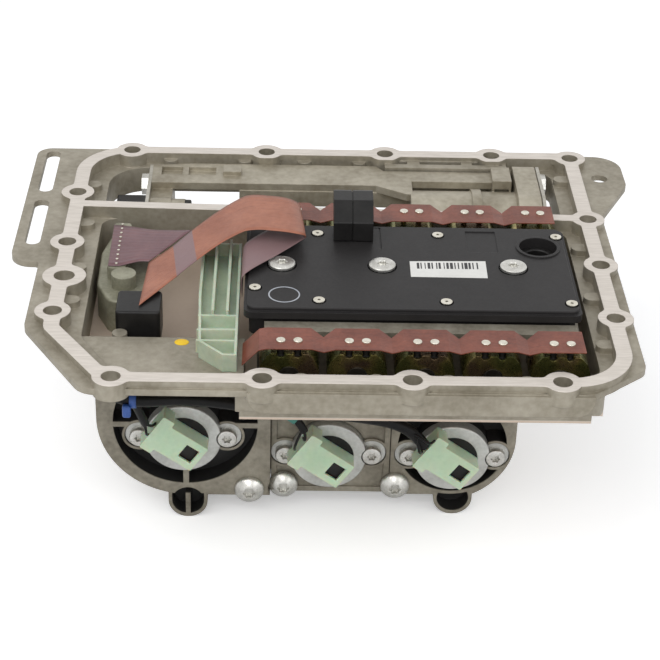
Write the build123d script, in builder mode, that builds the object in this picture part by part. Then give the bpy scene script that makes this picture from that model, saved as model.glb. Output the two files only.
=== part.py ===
import os
from math import cos, radians, sin, tan

from build123d import *

os.makedirs("parts", exist_ok=True)

# The sealing face is level, the feet stand on z = 0 and the origin lies below
# the middle of the bolt rectangle. Heights above the feet are worked out from
# the sealing face: a rise is measured up from it, a depth down from it.
face = 148.0

# Clearances
fit_gap = 0.15
running_gap = 0.05
pin_gap = 0.1
gasket = 0.8

# Flange rim, bolt holes and ears
rim_half_x = 167.2
rim_half_y = 148.4
rim_width = 9.2
rim_height = 9.0
seal_height = 4.2
rim_blend = 4.0
divider_blend = 2.5
rim_chamfer_x = 36.0
rim_chamfer_y = 56.0
boss_radius = 10.5
boss_depth = 10.5
bolt_radius = 5.5
dowel_radius = 6.3
dowel_boss_radius = 13.0
side_bolt_inset = 3.7
end_bolt_inset = 4.9
front_bolt_margin = 43.0
front_bolt_count = 4
rear_bolts_x = (-42.5, 37.5, 109.5)
rear_bolt_margin = 34.2
corner_bolt_shift = (1.0, 2.5)
low_bolt_rise = 19.4
left_bolt_y = 11.5
left_bolt_offset = 16.5
right_bolt_y = -8.5
right_bolt_offset = 1.4
dowel_inset = 6.2
dowel_y = -31.5
hole_reach = 28.0
plate_top_depth = 4.5
plate_thickness = 4.0
front_overhang = 1.6
rear_overhang = 4.6
left_overhang = 11.8
right_overhang = 7.2
left_ear_width = 18.0
left_ear_length = 160.0
right_ear_width = 22.6
right_ear_length = 43.0
right_ear_slope = 46.5
skirt_left_corner = (26.7, 66.0)
skirt_right_corner = (25.8, 27.8)
slot_inset = 11.0
slot_width = 9.4
slot_length = 60.5
slot_offsets = (35.0, 107.5)
ear_hole_inset = (16.8, 33.5)
ear_hole_radius = 5.4
apron_left_x = -49.5
apron_right_inset = 25.2
apron_overhang = 3.6
apron_top_depth = 5.0
apron_depth = 18.0
apron_corner = 10.0
apron_edge = 0.5

# Pan: shelf, walls, floor and divider
wall = 4.5
shelf_depth = 8.5
shelf_thickness = 4.5
floor_depth = 34.0
floor_thickness = 4.0
pan_left_inset = 21.2
pan_right_inset = 18.2
pan_front_inset = 18.9
pan_rear_inset = 14.4
pan_cut = (23.5, 41.5)
pan_slope = (14.5, 10.0)
pan_fill = (13.0, 9.0)
ledge_depth = 11.0
ledge_right_x = -52.0
ledge_rear_y = -83.4
divider_left_y = 63.0
divider_right_y = 53.4
divider_thickness = 7.8
divider_inset = 5.2
rear_wall_depth = 26.0
lug_width = 9.5
lug_length = 7.0
lug_depth = 4.5
lug_insets = (9.2, 9.7, 9.4)
left_lugs_y = (100.0, 46.0, -12.0, -52.0)
right_lugs_y = (118.0, 22.0, -40.0, -95.0)
front_lugs_x = (-60.0, -20.0, 22.0, 62.0, 106.0, 142.0)
rear_lug_length = 3.0
rear_lug_inset = 6.9
rear_lugs_x = (-107.0, -57.0, -17.0, 20.0)
rear_ledge_x = (37.0, 119.0)
rear_ledge_width = 5.6
rear_ledge_depth = 3.0
rear_pockets_x = ((40.5, 52.3), (60.7, 88.6), (96.0, 116.0))
rear_pocket_width = 4.4
rear_pocket_depth = 8.0
ledge_boss = (-124.7, -78.6)
ledge_boss_radius = 4.4

# Control unit on top of the valve block
unit_left_x = -53.0
unit_right_x = 142.5
unit_front_y = -84.0
unit_rear_y = 22.0
unit_rise = 9.0
cover_height = 6.4
cover_edge = 0.6
cover_step = 2.0
cover_step_width = 1.8
lid_groove = ((22.8, 17.9), (28.6, 17.9), (28.6, -9.3))
lid_groove_width = 1.0
lid_groove_depth = 0.6
lid_thickness = 2.4
unit_corner = 5.0
base_inset = 3.0
base_depth = 9.4
unit_wall = 2.5
board_thickness = 1.6
board_lift = 2.5
board_gap = 0.5
board_posts = ((-35.0, 5.0), (50.0, -70.0), (50.0, 10.0), (125.0, -70.0))
cover_screws = ((-31.3, -31.0), (28.5, -31.0), (107.0, -31.0))
tower_radius = 6.5
screw_radius = 4.0
screw_gap = 0.5
screw_grip = 10.0
screw_head_radius = 8.0
screw_head_height = 2.2
torx_radius = 3.0
rivet_radius = 3.4
rivet_shank = 1.6
rivet_bore = 0.9
rivet_head = 0.7
rivet_boss = 3.4
cover_rivets = (
    (-9.6, 9.3), (64.2, 9.3), (137.0, 9.0), (-46.9, -59.0),
    (-9.6, -73.0), (64.2, -73.0), (137.0, -73.0),
)
port_centre = (124.5, -5.0)
port_radius = 11.5
port_lip = 2.0
port_rim = 0.8
port_bore = 7.5
port_seat = -3.0
cover_panel = (90.5, 1.8, 18.5, 26.7)
panel_depth = 0.6

# Valve block
block_left_x = -45.0
block_right_x = 143.0
block_corner = 4.0
front_lip = 11.0
rear_lip = 4.4
lip_rise = 1.5

# Solenoid valves: axis along Y, five at the front and five at the rear
valve_pitch = 38.3
valve_mid_x = 50.0
valve_count = 5
valve_depth = 12.6
can_radius = 17.0
can_flat = 13.5
can_wall = 1.6
can_floor = 2.0
can_length = 24.0
end_plate_thickness = 1.8
front_valve_y = -119.6
rear_valve_y = 48.0
core_radius = 5.5
core_proud = 0.8
core_tip = 12.0
plunger_radius = 4.4
plunger_gap = 0.05
plunger_travel = 1.0
plunger_clear = 0.3
plunger_chamfer = 0.4
tip_radius = 1.8
tip_gap = 0.3
pin_radius = 1.0
pin_head_radius = 2.6
pin_head_height = 1.0
pin_spread = 9.6
pin_setback = 4.0
post_radius = 1.8
notch_radius = 2.5
nozzle_radius = 5.0
nozzle_length = 4.0

# Flat flexible circuits
film = 0.5
ribbon_rise = 7.0
front_ribbon_front_y = -124.5
front_ribbon_rear_y = -101.3
rear_ribbon_front_y = 31.0
rear_ribbon_rear_y = 54.4
ribbon_notch = 7.0
ribbon_dip = 1.8
hump_half = 12.6
tail_end_x = -53.0
tail_drop = 4.0
branch_rise = -3.0
loop_lines = (
    ((-114.0, -68.0, 1.0), (-112.0, -11.5, -1.5), (0, 0, 1)),
    ((-93.8, -38.5, 4.0), (-98.0, 0.5, 3.4), (0, 0, 1)),
    ((-82.1, -24.0, 7.5), (-86.8, 14.0, 7.5), (0, 0, 1)),
    ((-53.9, -9.5, 20.0), (-54.3, 37.3, 20.0), (0, 0, 1)),
    ((-22.0, -16.0, 22.0), (-27.0, 30.0, 22.0), (0, 0, 1)),
    ((-17.0, -11.0, 17.5), (-20.5, 30.0, 17.5), (1, 0, 0)),
    ((-20.0, -8.0, 13.2), (-23.0, 29.0, 13.2), (0, 0, -1)),
    ((-53.0, -47.0, 11.5), (-54.0, -9.6, 11.5), (0, 0, -1)),
    ((-54.6, -47.0, 9.5), (-54.6, -9.6, 9.5), (1, 0, 0)),
    ((-54.6, -47.0, -4.0), (-54.6, -9.6, -4.0), (1, 0, 0)),
)
branch_lines = (
    ((-136.5, -14.0, -3.0), (-137.0, 39.0, -3.0), (0, 0, 1)),
    ((-129.5, -14.0, -3.0), (-129.5, 38.0, -3.0), (0, 0, 1)),
    ((-112.2, -11.0, -1.3), (-87.3, 14.6, 7.5), (-0.2, 0, 1)),
)

# Left socket unit and plugs
socket_depth = 12.0
socket_points = (
    (-136.0, 55.0), (-120.0, 51.0), (-112.0, 12.0), (-112.0, -24.0), (-121.0, -38.0),
    (-133.0, -44.0), (-143.0, -20.0), (-143.5, 20.0),
)
socket_radii = (6.0, 6.0, 8.0, 8.0, 6.0, 8.0, 10.0, 10.0)
socket_pin_x = -131.6
socket_pin_front = -12.0
socket_pin_rear = 39.0
socket_pin_count = 10
socket_pin_radius = 0.9
socket_pin_length = 8.0
socket_pin_proud = 0.9
socket_neck_width = 11.0
socket_dome = (-126.5, -22.0)
socket_dome_radius = 7.5
side_plug_centre = (-114.5, -61.0)
side_plug_size = 26.0
side_plug_depth = 22.0
side_plug_rise = 0.0
top_plug_x = 0.0
top_plug_length = 24.0
top_plug_split = 11.0
top_plug_groove = 0.8
top_plug_points = (
    (-1.0, 9.0), (11.0, 9.0), (12.0, 14.0), (31.0, 22.0), (32.0, 28.0), (25.0, 31.0), (12.0, 31.0), (-1.0, 22.0)
)

# Cable bracket beside the control unit
bracket_x = (-80.0, -56.0)
bracket_rear_y = 12.0
bracket_points = (
    (-80.0, -52.0), (-78.0, -105.0), (-64.0, -120.0), (-56.0, -120.0), (-56.0, 12.0), (-80.0, 12.0)
)
bracket_floor = 3.0
bracket_height = 8.0
bracket_wall = 1.6
bracket_ribs_y = (-104.0, -92.0, -76.0)
bracket_rails_x = (-71.0, -62.5)
rail_rise = 3.0
bracket_legs = ((-70.0, 4.0), (-70.0, -66.0))
leg_radius = 3.0

# Shift actuator in the rear compartment
bar_depth = 5.0
bar_thickness = 5.0
bar_front_y = 104.5
bar_points = (
    (-118.0, 105.0), (30.0, 105.0), (50.0, 93.0), (54.0, 93.0), (54.0, 112.0), (121.0, 112.0),
    (121.0, 127.0), (36.0, 127.0), (31.0, 134.0), (-90.0, 134.0), (-118.0, 131.0)
)
rail_left_x = -60.0
rail_width = 20.0
rail_height = 11.0
hook_slot_wall = 1.5
bar_pockets_x = ((-112.0, -98.0), (-94.0, -76.0))
bar_pocket_inset = 12.0
bar_pocket_width = 12.0
bar_pocket_depth = 3.0
bar_pad = (-65.0, 121.0, 12.0, 10.0)
pad_rise = 3.0
head_left_x = -118.0
head_length = 14.0
collar_length = 9.0
collar_radius = 14.0
rod_y = 86.0
rod_depth = 22.0
rod_radius = 6.0
rod_left_x = -117.0
rod_right_x = -82.5
nut_radius = 9.5
nut_length = 5.0
seal_radius = 12.5
seal_length = 4.0
cylinder_y = 92.0
cylinder_depth = 33.0
cylinder_left_x = 52.6
cylinder_steps = ((52.6, 92.7, 28.0), (92.7, 99.0, 29.5), (99.0, 122.0, 28.0))
hook_x = (107.5, 120.0)
hook_y = 106.0
hook_width = 21.0
hook_top = 1.0
hook_slot = (3.0, 4.0)
hook_slot_depth = 7.0
end_cover_x = 122.0
end_cover_length = 15.5
end_cover_points = ((64.0, 0.0), (131.0, 0.0), (131.0, -62.0), (64.0, -62.0))
end_cover_radii = (20.0, 6.0, 20.0, 20.0)
steel_plate = 2.2
hex_radius = 7.0
hex_height = 5.0
right_bolt_spots = ((124.0, 12.0), (76.0, 20.0))
left_bolt_spots = ((120.0, 14.0),)
sensor_y = 94.0
sensor_depth = 24.0
sensor_width = 22.0
sensor_height = 20.0
sensor_length = 20.0

# Cylinder block under the pan, its end covers and their coil heads
cover_top = 106.0
cover_front_left_y = -70.0
cover_front_y = -64.0
cover_thickness = 22.0
shoulder_y = -29.0
cylinder_rear_y = 42.0
left_arc = (-86.7, 71.4, 54.7)
right_arc = (67.9, 55.3, 45.1)
middle_bottom = 16.0
right_bottom = 14.5
left_barrel = 48.0
middle_barrel = 30.0
right_barrel = 40.0
web_half = 8.0
split_x = 36.5
split_gap = 0.5
foot_width = 24.0
foot_radius = 12.0
foot_wall = 2.2
foot_rib = 3.0
foot_depth = 12.0
left_foot_top = 17.5
right_foot_top = 13.0
cover_border = 3.5
border_height = 1.5
left_foot_x = -87.0
right_foot_x = 76.5
ear_radius = 9.5
block_flange = (-128.0, 112.0, -41.0, 44.0)
block_flange_overlap = 5.0
coil_spacing = 52.8
coil_radius = 15.2
coil_bore = 12.0
coil_length = 8.0
coil_centres = ((-89.3, 60.0), (-1.3, 44.5), (74.4, 44.0))
left_pocket_centre = (-88.0, 68.5)
left_pocket_radius = 43.5
left_web_z = 67.5
right_pocket_centre = (74.3, 50.5)
right_pocket_radius = 33.3
pocket_depth = 14.0
cover_web = 3.5
hub_margin = 2.0
hub_depth = 4.0
retainer_radius = 23.0
retainer_ear = 8.6
retainer_gap = 0.4
ear_thickness = 3.0
collar_height = 8.0
retainer_screw_radius = 3.0
retainer_screw_grip = 14.0
retainer_head_radius = 6.0
retainer_head_height = 5.0
head_edge = 0.6
flange_screws = ((-49.5, 21.5), (-28.6, 21.5), (40.2, 21.5))
flange_head_radius = 9.0
flange_head_height = 6.0
plug_turn = -35.5
plug_shift = (-3.9, 3.0)
plug_length = 34.5
plug_width = 19.0
plug_depth = 12.0
plug_wall = 1.6
plug_wing_length = 8.0
plug_wing_width = 26.0
plug_standoff = 0.2
plug_window_x = 9.5
plug_window_length = 9.0
plug_window_width = 10.0

# Wiring harness, from the gland under the front ledge to the three plugs
loom_diameter = 7.5
wire_diameter = 2.8
loom_points = (
    (-138.0, -100.0, -15.0), (-138.0, -100.0, -30.0), (-128.0, -99.0, -42.0), (-112.0, -97.0, -46.5),
    (-94.0, -94.0, -46.5), (-76.0, -89.0, -50.0), (-52.0, -86.0, -55.5), (-28.0, -85.0, -58.8),
    (-4.0, -83.0, -62.0), (20.0, -81.0, -66.0), (38.0, -80.0, -70.5), (50.0, -80.0, -78.0), (56.0, -80.0, -87.0),
)
branch_wires = (
    ((-117.0, -97.0, -46.0), (-116.5, -91.0, -55.0), (-113.0, -86.0, -65.0), (-108.5, -83.0, -73.0)),
    ((-24.0, -85.0, -59.0), (-19.0, -85.5, -66.0), (-17.0, -83.0, -74.0), (-19.5, -80.0, -84.0)),
)


def at_rise(rise):
    """Horizontal plane, measured up from the sealing face."""
    return Plane.XY.offset(face + rise)


def level(rise):
    """Height above the feet of a rise over the sealing face."""
    return face + rise


def facing_front(y):
    """Upright plane whose normal points to the front; it reads (x, z)."""
    return Plane.XZ.offset(-y)


def facing_right(x):
    """Upright plane whose normal points to the right; it reads (y, z)."""
    return Plane.YZ.offset(x)


def rounded_face(points, radii):
    """Closed outline of straight runs with one corner radius for each point."""
    with BuildSketch() as outline:
        with BuildLine():
            FilletPolyline(*points, radius=radii, close=True)
        make_face()
    return outline.sketch


def finish(part, label):
    """Labels a finished piece and writes it."""
    part.label = label
    export_step(part, f"parts/{label}.step")


# Flange outline, bolt circle centres and pan outlines
rim_points = (
    (-rim_half_x + rim_chamfer_x, -rim_half_y),
    (rim_half_x, -rim_half_y),
    (rim_half_x, rim_half_y),
    (-rim_half_x, rim_half_y),
    (-rim_half_x, -rim_half_y + rim_chamfer_y),
)
rim_corner = 38.0
rim_radii = (14.0, rim_corner, 12.0, rim_corner, 14.0)
bolt_line_x = rim_half_x - side_bolt_inset
bolt_line_y = rim_half_y - end_bolt_inset
low_bolt_y = rim_chamfer_y - rim_half_y + low_bolt_rise
front_reach = rim_half_x - front_bolt_margin
front_pitch = 2 * front_reach / (front_bolt_count - 1)
corner_bolt = (bolt_line_x - corner_bolt_shift[0], bolt_line_y - corner_bolt_shift[1])
divider_bolt = (bolt_line_x, divider_right_y - right_bolt_offset)
bolt_centres = (
    [(front_pitch * i - front_reach, -bolt_line_y) for i in range(front_bolt_count)]
    + [(rear_bolt_margin - rim_half_x, bolt_line_y)]
    + [(x, bolt_line_y) for x in rear_bolts_x]
    + [corner_bolt]
    + [(-bolt_line_x, y) for y in (divider_left_y + left_bolt_offset, left_bolt_y, low_bolt_y)]
    + [divider_bolt, (bolt_line_x, right_bolt_y), (bolt_line_x, low_bolt_y)]
)
dowel_centre = (dowel_inset - rim_half_x, dowel_y)
pan_left_x = pan_left_inset - rim_half_x
pan_right_x = rim_half_x - pan_right_inset
pan_front_y = pan_front_inset - rim_half_y
rear_inner_y = rim_half_y - pan_rear_inset


def divider_y(x):
    """Middle of the divider, which runs slightly askew."""
    share = (x - pan_left_x) / (pan_right_x - pan_left_x)
    return divider_left_y + share * (divider_right_y - divider_left_y)


divider_end_x = rim_half_x - divider_inset
divider_points = [
    (x, divider_y(x) + side * divider_thickness / 2)
    for x, side in ((-divider_end_x, -1), (divider_end_x, -1), (divider_end_x, 1), (-divider_end_x, 1))
]
pan_points = (
    (pan_left_x + pan_cut[0], pan_front_y),
    (pan_right_x, pan_front_y),
    (pan_right_x, divider_y(pan_right_x) - divider_thickness / 2),
    (pan_left_x, divider_y(pan_left_x) - divider_thickness / 2),
    (pan_left_x, pan_front_y + pan_cut[1]),
)
pan_radii = (10.0, 14.0, 10.0, 10.0, 14.0)
rear_points = (
    (pan_left_x, divider_y(pan_left_x) + divider_thickness / 2),
    (pan_right_x, divider_y(pan_right_x) + divider_thickness / 2),
    (pan_right_x, rear_inner_y),
    (pan_left_x, rear_inner_y),
)
rear_radii = (6.0, 6.0, 10.0, 26.0)
skirt_front_y = -rim_half_y - front_overhang
skirt_rear_y = rim_half_y + rear_overhang
left_skirt_x = -rim_half_x - left_overhang
right_skirt_x = rim_half_x + right_overhang
left_ear_x = left_skirt_x - left_ear_width
right_ear_x = right_skirt_x + right_ear_width
right_ear_y = skirt_rear_y - right_ear_length
skirt_points = (
    (skirt_left_corner[0] - rim_half_x, skirt_front_y),
    (rim_half_x - skirt_right_corner[0], skirt_front_y),
    (right_skirt_x, skirt_front_y + skirt_right_corner[1]),
    (right_skirt_x, right_ear_y - right_ear_slope),
    (right_ear_x, right_ear_y),
    (right_ear_x, skirt_rear_y),
    (left_ear_x, skirt_rear_y),
    (left_ear_x, skirt_rear_y - left_ear_length),
    (left_skirt_x, skirt_rear_y - left_ear_length),
    (left_skirt_x, skirt_front_y + skirt_left_corner[1]),
)
skirt_radii = (14.0, 10.0, 10.0, 6.0, 14.0, 18.0, 10.0, 13.0, 3.0, 14.0)
lugs = (
    [Location((lug_insets[0] - rim_half_x, y, 0)) for y in left_lugs_y]
    + [Location((rim_half_x - lug_insets[1], y, 0)) for y in right_lugs_y]
    + [Location((x, lug_insets[2] - rim_half_y, 0), (0, 0, 90)) for x in front_lugs_x]
)
rear_lugs = [Location((x, rim_half_y - rear_lug_inset, 0), (0, 0, 90)) for x in rear_lugs_x]
ear_slots = [(left_ear_x + slot_inset, skirt_rear_y - offset_y) for offset_y in slot_offsets]
ear_hole = (right_ear_x - ear_hole_inset[0], skirt_rear_y - ear_hole_inset[1])
apron_right_x = rim_half_x - apron_right_inset
apron_points = (
    (apron_left_x, level(-apron_depth)),
    (apron_right_x, level(-apron_depth)),
    (apron_right_x, level(-apron_top_depth)),
    (apron_left_x, level(-apron_top_depth)),
)
slope_foot = (pan_front_y - wall + pan_slope[0], level(-floor_depth - floor_thickness))
slope_points = (
    (slope_foot[0] - 1.3 * pan_slope[0], slope_foot[1] + 1.3 * pan_slope[1]),
    (slope_foot[0] + 0.3 * pan_slope[0], slope_foot[1] - 0.3 * pan_slope[1]),
    (slope_foot[0] - 1.3 * pan_slope[0], slope_foot[1] - 0.3 * pan_slope[1]),
)
fill_points = (
    (pan_front_y - wall / 2, level(-floor_depth) + pan_fill[1] * (1 + wall / 2 / pan_fill[0])),
    (pan_front_y + pan_fill[0], level(-floor_depth)),
    (pan_front_y + pan_fill[0], level(-floor_depth) - 1),
    (pan_front_y - wall / 2, level(-floor_depth) - 1),
)
slope_face = make_face(Polyline(*slope_points, close=True))
fill_face = make_face(Polyline(*fill_points, close=True))
apron_outline = rounded_face(apron_points, (apron_corner, apron_corner, apron_edge, apron_edge))
rim_outline = rounded_face(rim_points, rim_radii)
skirt_outline = rounded_face(skirt_points, skirt_radii)
pan_outline = rounded_face(pan_points, pan_radii)
rear_outline = rounded_face(rear_points, rear_radii)
divider_outline = make_face(Polyline(*divider_points, close=True))
rim_inner = offset(rim_outline, amount=-rim_width)
rim_seat = offset(rim_outline, amount=-rim_width / 2)
shelf_outline = offset(rim_outline, amount=-0.7 * rim_width)
pan_outer = offset(pan_outline, amount=wall)
rear_outer = offset(rear_outline, amount=wall)


def on_boss_edge(corner):
    """True where a boss circle crosses the rim or the divider."""
    spot = Vector(corner.X, corner.Y)
    reaches = [(spot - Vector(*c)).length - boss_radius for c in bolt_centres]
    reaches.append((spot - Vector(*dowel_centre)).length - dowel_boss_radius)
    return min(abs(reach) for reach in reaches) < 0.001


def at_divider_end(corner):
    """True at the bolt boss that the divider runs into."""
    spot = Vector(corner.X, corner.Y)
    return (spot - Vector(*divider_bolt)).length < 1.4 * boss_radius


def on_corner_arc(corner):
    """True where a boss meets one of the rim's corner arcs almost in line with it."""
    rear_left = corner.X < rim_corner - rim_half_x and corner.Y > rim_half_y - rim_corner / 2
    front_right = corner.X > rim_half_x - rim_corner and corner.Y < rim_corner / 2 - rim_half_y
    return rear_left or front_right


def takes_blend(corner):
    """True where a boss crosses the rim at a clear angle, away from the divider's end."""
    return not at_divider_end(corner) and not on_corner_arc(corner)


with BuildSketch() as boss_circles:
    with Locations(*bolt_centres):
        Circle(boss_radius)
    with Locations(dowel_centre):
        Circle(dowel_boss_radius)
with BuildSketch() as rim_ring:
    add(rim_outline)
    add(rim_inner, mode=Mode.SUBTRACT)
    add(divider_outline)
with BuildSketch() as sealing_face:
    add(rim_ring.sketch)
    add(boss_circles.sketch)
    crossings = sealing_face.vertices().filter_by(on_boss_edge)
    fillet(crossings.filter_by(takes_blend), rim_blend)
    crossings = sealing_face.vertices().filter_by(on_boss_edge)
    fillet(crossings.filter_by(at_divider_end), divider_blend)
with BuildSketch() as skirt_face:
    add(skirt_outline)
    add(rim_seat, mode=Mode.SUBTRACT)
    with Locations(*ear_slots):
        SlotOverall(slot_length, slot_width, rotation=90, mode=Mode.SUBTRACT)
    with Locations(ear_hole):
        Circle(ear_hole_radius, mode=Mode.SUBTRACT)
with BuildSketch() as deep_floor:
    add(pan_outline)
    with Locations((ledge_right_x, ledge_rear_y)):
        Rectangle(200, 200, align=(Align.MAX, Align.MAX), mode=Mode.SUBTRACT)

# Main housing: one aluminium casting with a machined sealing face
with BuildPart() as main_housing:
    with BuildSketch(at_rise(0)):
        add(sealing_face.sketch)
    extrude(amount=-seal_height)
    with BuildSketch(at_rise(-seal_height)):
        add(rim_ring.sketch)
    extrude(amount=seal_height - rim_height)
    with BuildSketch(at_rise(-seal_height)):
        add(boss_circles.sketch)
    extrude(amount=seal_height - boss_depth)
    with BuildSketch(at_rise(-plate_top_depth)):
        add(skirt_face.sketch)
    extrude(amount=-plate_thickness)
    with BuildSketch(at_rise(-shelf_depth)):
        add(shelf_outline)
    extrude(amount=-shelf_thickness)
    with BuildSketch(at_rise(-rim_height)):
        add(pan_outer)
    extrude(amount=rim_height - floor_depth - floor_thickness)
    with BuildSketch(at_rise(-rim_height)):
        add(rear_outer)
    extrude(amount=rim_height - rear_wall_depth)
    with BuildSketch(at_rise(-ledge_depth)):
        add(pan_outline)
    extrude(amount=ledge_depth, mode=Mode.SUBTRACT)
    with BuildSketch(at_rise(-floor_depth)):
        add(deep_floor.sketch)
    extrude(amount=floor_depth - ledge_depth, mode=Mode.SUBTRACT)
    with BuildSketch(at_rise(-rear_wall_depth)):
        add(rear_outline)
    extrude(amount=rear_wall_depth, mode=Mode.SUBTRACT)
    with BuildSketch(at_rise(-ledge_depth - floor_thickness)):
        with Locations((ledge_right_x - wall, ledge_rear_y - wall)):
            Rectangle(200, 200, align=(Align.MAX, Align.MAX))
    extrude(amount=ledge_depth - floor_depth, mode=Mode.SUBTRACT)
    with BuildSketch(facing_right(ledge_right_x - 2 * wall)):
        add(slope_face)
    extrude(amount=pan_right_x - ledge_right_x + 4 * wall, mode=Mode.SUBTRACT)
    with BuildSketch(facing_right(ledge_right_x - wall / 2)):
        add(fill_face)
    extrude(amount=pan_right_x - ledge_right_x - wall / 2)
    with BuildSketch(facing_front(skirt_front_y - apron_overhang + front_overhang)):
        add(apron_outline)
    extrude(amount=skirt_front_y - apron_overhang + front_overhang - pan_front_y + wall / 2)
    with BuildSketch(at_rise(-shelf_depth)):
        with Locations(*lugs):
            SlotOverall(lug_length + lug_width, lug_width)
        with Locations(*rear_lugs):
            SlotOverall(rear_lug_length + lug_width, lug_width)
    extrude(amount=shelf_depth - lug_depth)
    with BuildSketch(at_rise(-floor_depth)):
        with Locations(ledge_boss):
            Circle(ledge_boss_radius)
    extrude(amount=floor_depth - ledge_depth)
    with BuildSketch(at_rise(-rear_ledge_depth)):
        with Locations((rear_ledge_x[0], rear_inner_y - rear_ledge_width)):
            Rectangle(
                rear_ledge_x[1] - rear_ledge_x[0], rear_ledge_width + pan_rear_inset - rim_width,
                align=(Align.MIN, Align.MIN),
            )
    extrude(amount=rear_ledge_depth - rear_wall_depth)
    with BuildSketch(at_rise(-rear_ledge_depth)):
        for left, right in rear_pockets_x:
            with Locations((left, rear_inner_y)):
                Rectangle(right - left, rear_pocket_width, align=(Align.MIN, Align.MIN))
        with Locations(*bolt_centres):
            Circle(boss_radius, mode=Mode.SUBTRACT)
    extrude(amount=-rear_pocket_depth, mode=Mode.SUBTRACT)
    with Locations(*[Location((x, y, face)) for x, y in bolt_centres]):
        Hole(bolt_radius, depth=hole_reach)
    with Locations(Location((*dowel_centre, face))):
        Hole(dowel_radius, depth=hole_reach)
finish(main_housing.part, "main_housing")


# Valve block: the manifold that the solenoid valves are pressed into
valve_xs = [valve_mid_x + valve_pitch * (i - (valve_count - 1) / 2) for i in range(valve_count)]
unit_mid_x = (unit_left_x + unit_right_x) / 2
unit_mid_y = (unit_front_y + unit_rear_y) / 2
unit_length = unit_right_x - unit_left_x
unit_width = unit_rear_y - unit_front_y
block_front_y = front_valve_y + can_length
block_rear_y = rear_valve_y - can_length
with BuildPart() as valve_block:
    with BuildSketch(at_rise(-floor_depth)):
        with Locations((block_left_x, block_front_y)):
            Rectangle(
                block_right_x - block_left_x, block_rear_y - block_front_y, align=(Align.MIN, Align.MIN)
            )
    extrude(amount=floor_depth - base_depth)
    fillet(valve_block.edges().filter_by(Axis.Z), block_corner)
    for y, depth, side in ((block_front_y, front_lip, Align.MIN), (block_rear_y, rear_lip, Align.MAX)):
        with BuildSketch(at_rise(-base_depth)):
            with Locations((block_left_x + block_corner, y)):
                Rectangle(
                    block_right_x - block_left_x - 2 * block_corner, depth, align=(Align.MIN, side)
                )
        extrude(amount=base_depth + lip_rise)
    for y, way in ((block_front_y, -1), (block_rear_y, 1)):
        with BuildSketch(facing_front(y)):
            with Locations(*[(x, level(-valve_depth)) for x in valve_xs]):
                Circle(nozzle_radius + fit_gap)
        extrude(amount=way * (nozzle_length + 1), mode=Mode.SUBTRACT)
    with Locations(*[Location((x, y, level(-base_depth))) for x, y in cover_screws]):
        Hole(screw_radius + fit_gap, depth=screw_grip)
finish(valve_block.part, "valve_block")


def valve_face(radius, flat):
    """Round valve section with a flat on top, centred on the valve axis."""
    with BuildSketch() as section:
        Circle(radius)
        with Locations((0, flat)):
            Rectangle(3 * radius, radius, align=(Align.CENTER, Align.MIN), mode=Mode.SUBTRACT)
    return section.sketch


def valve_plane(x, y, rear=False):
    """Upright plane on a valve axis; its normal points out of the block."""
    outward = (0, 1, 0) if rear else (0, -1, 0)
    across = (-1, 0, 0) if rear else (1, 0, 0)
    return Plane(origin=(x, y, level(-valve_depth)), x_dir=across, z_dir=outward)


can_face = valve_face(can_radius, can_flat)
can_inner = valve_face(can_radius - can_wall, can_flat - can_wall)
coil_face = valve_face(can_radius - can_wall - fit_gap, can_flat - can_wall - fit_gap)
post_height = ribbon_rise - film / 2 + valve_depth
post_spots = [(-pin_spread / 2, 0), (pin_spread / 2, 0)]
plate_seat = can_length - end_plate_thickness
coil_top = can_flat - can_wall - fit_gap
post_reach = can_length - pin_setback


def slot_face():
    """Section of the two slots in the top of a can that let the terminal posts out."""
    with BuildSketch() as section:
        with Locations(*[(dx, can_flat) for dx, _ in post_spots]):
            Rectangle(2 * (post_radius + fit_gap), 2 * (can_wall + fit_gap))
    return section.sketch


can_slots = slot_face()


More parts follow.
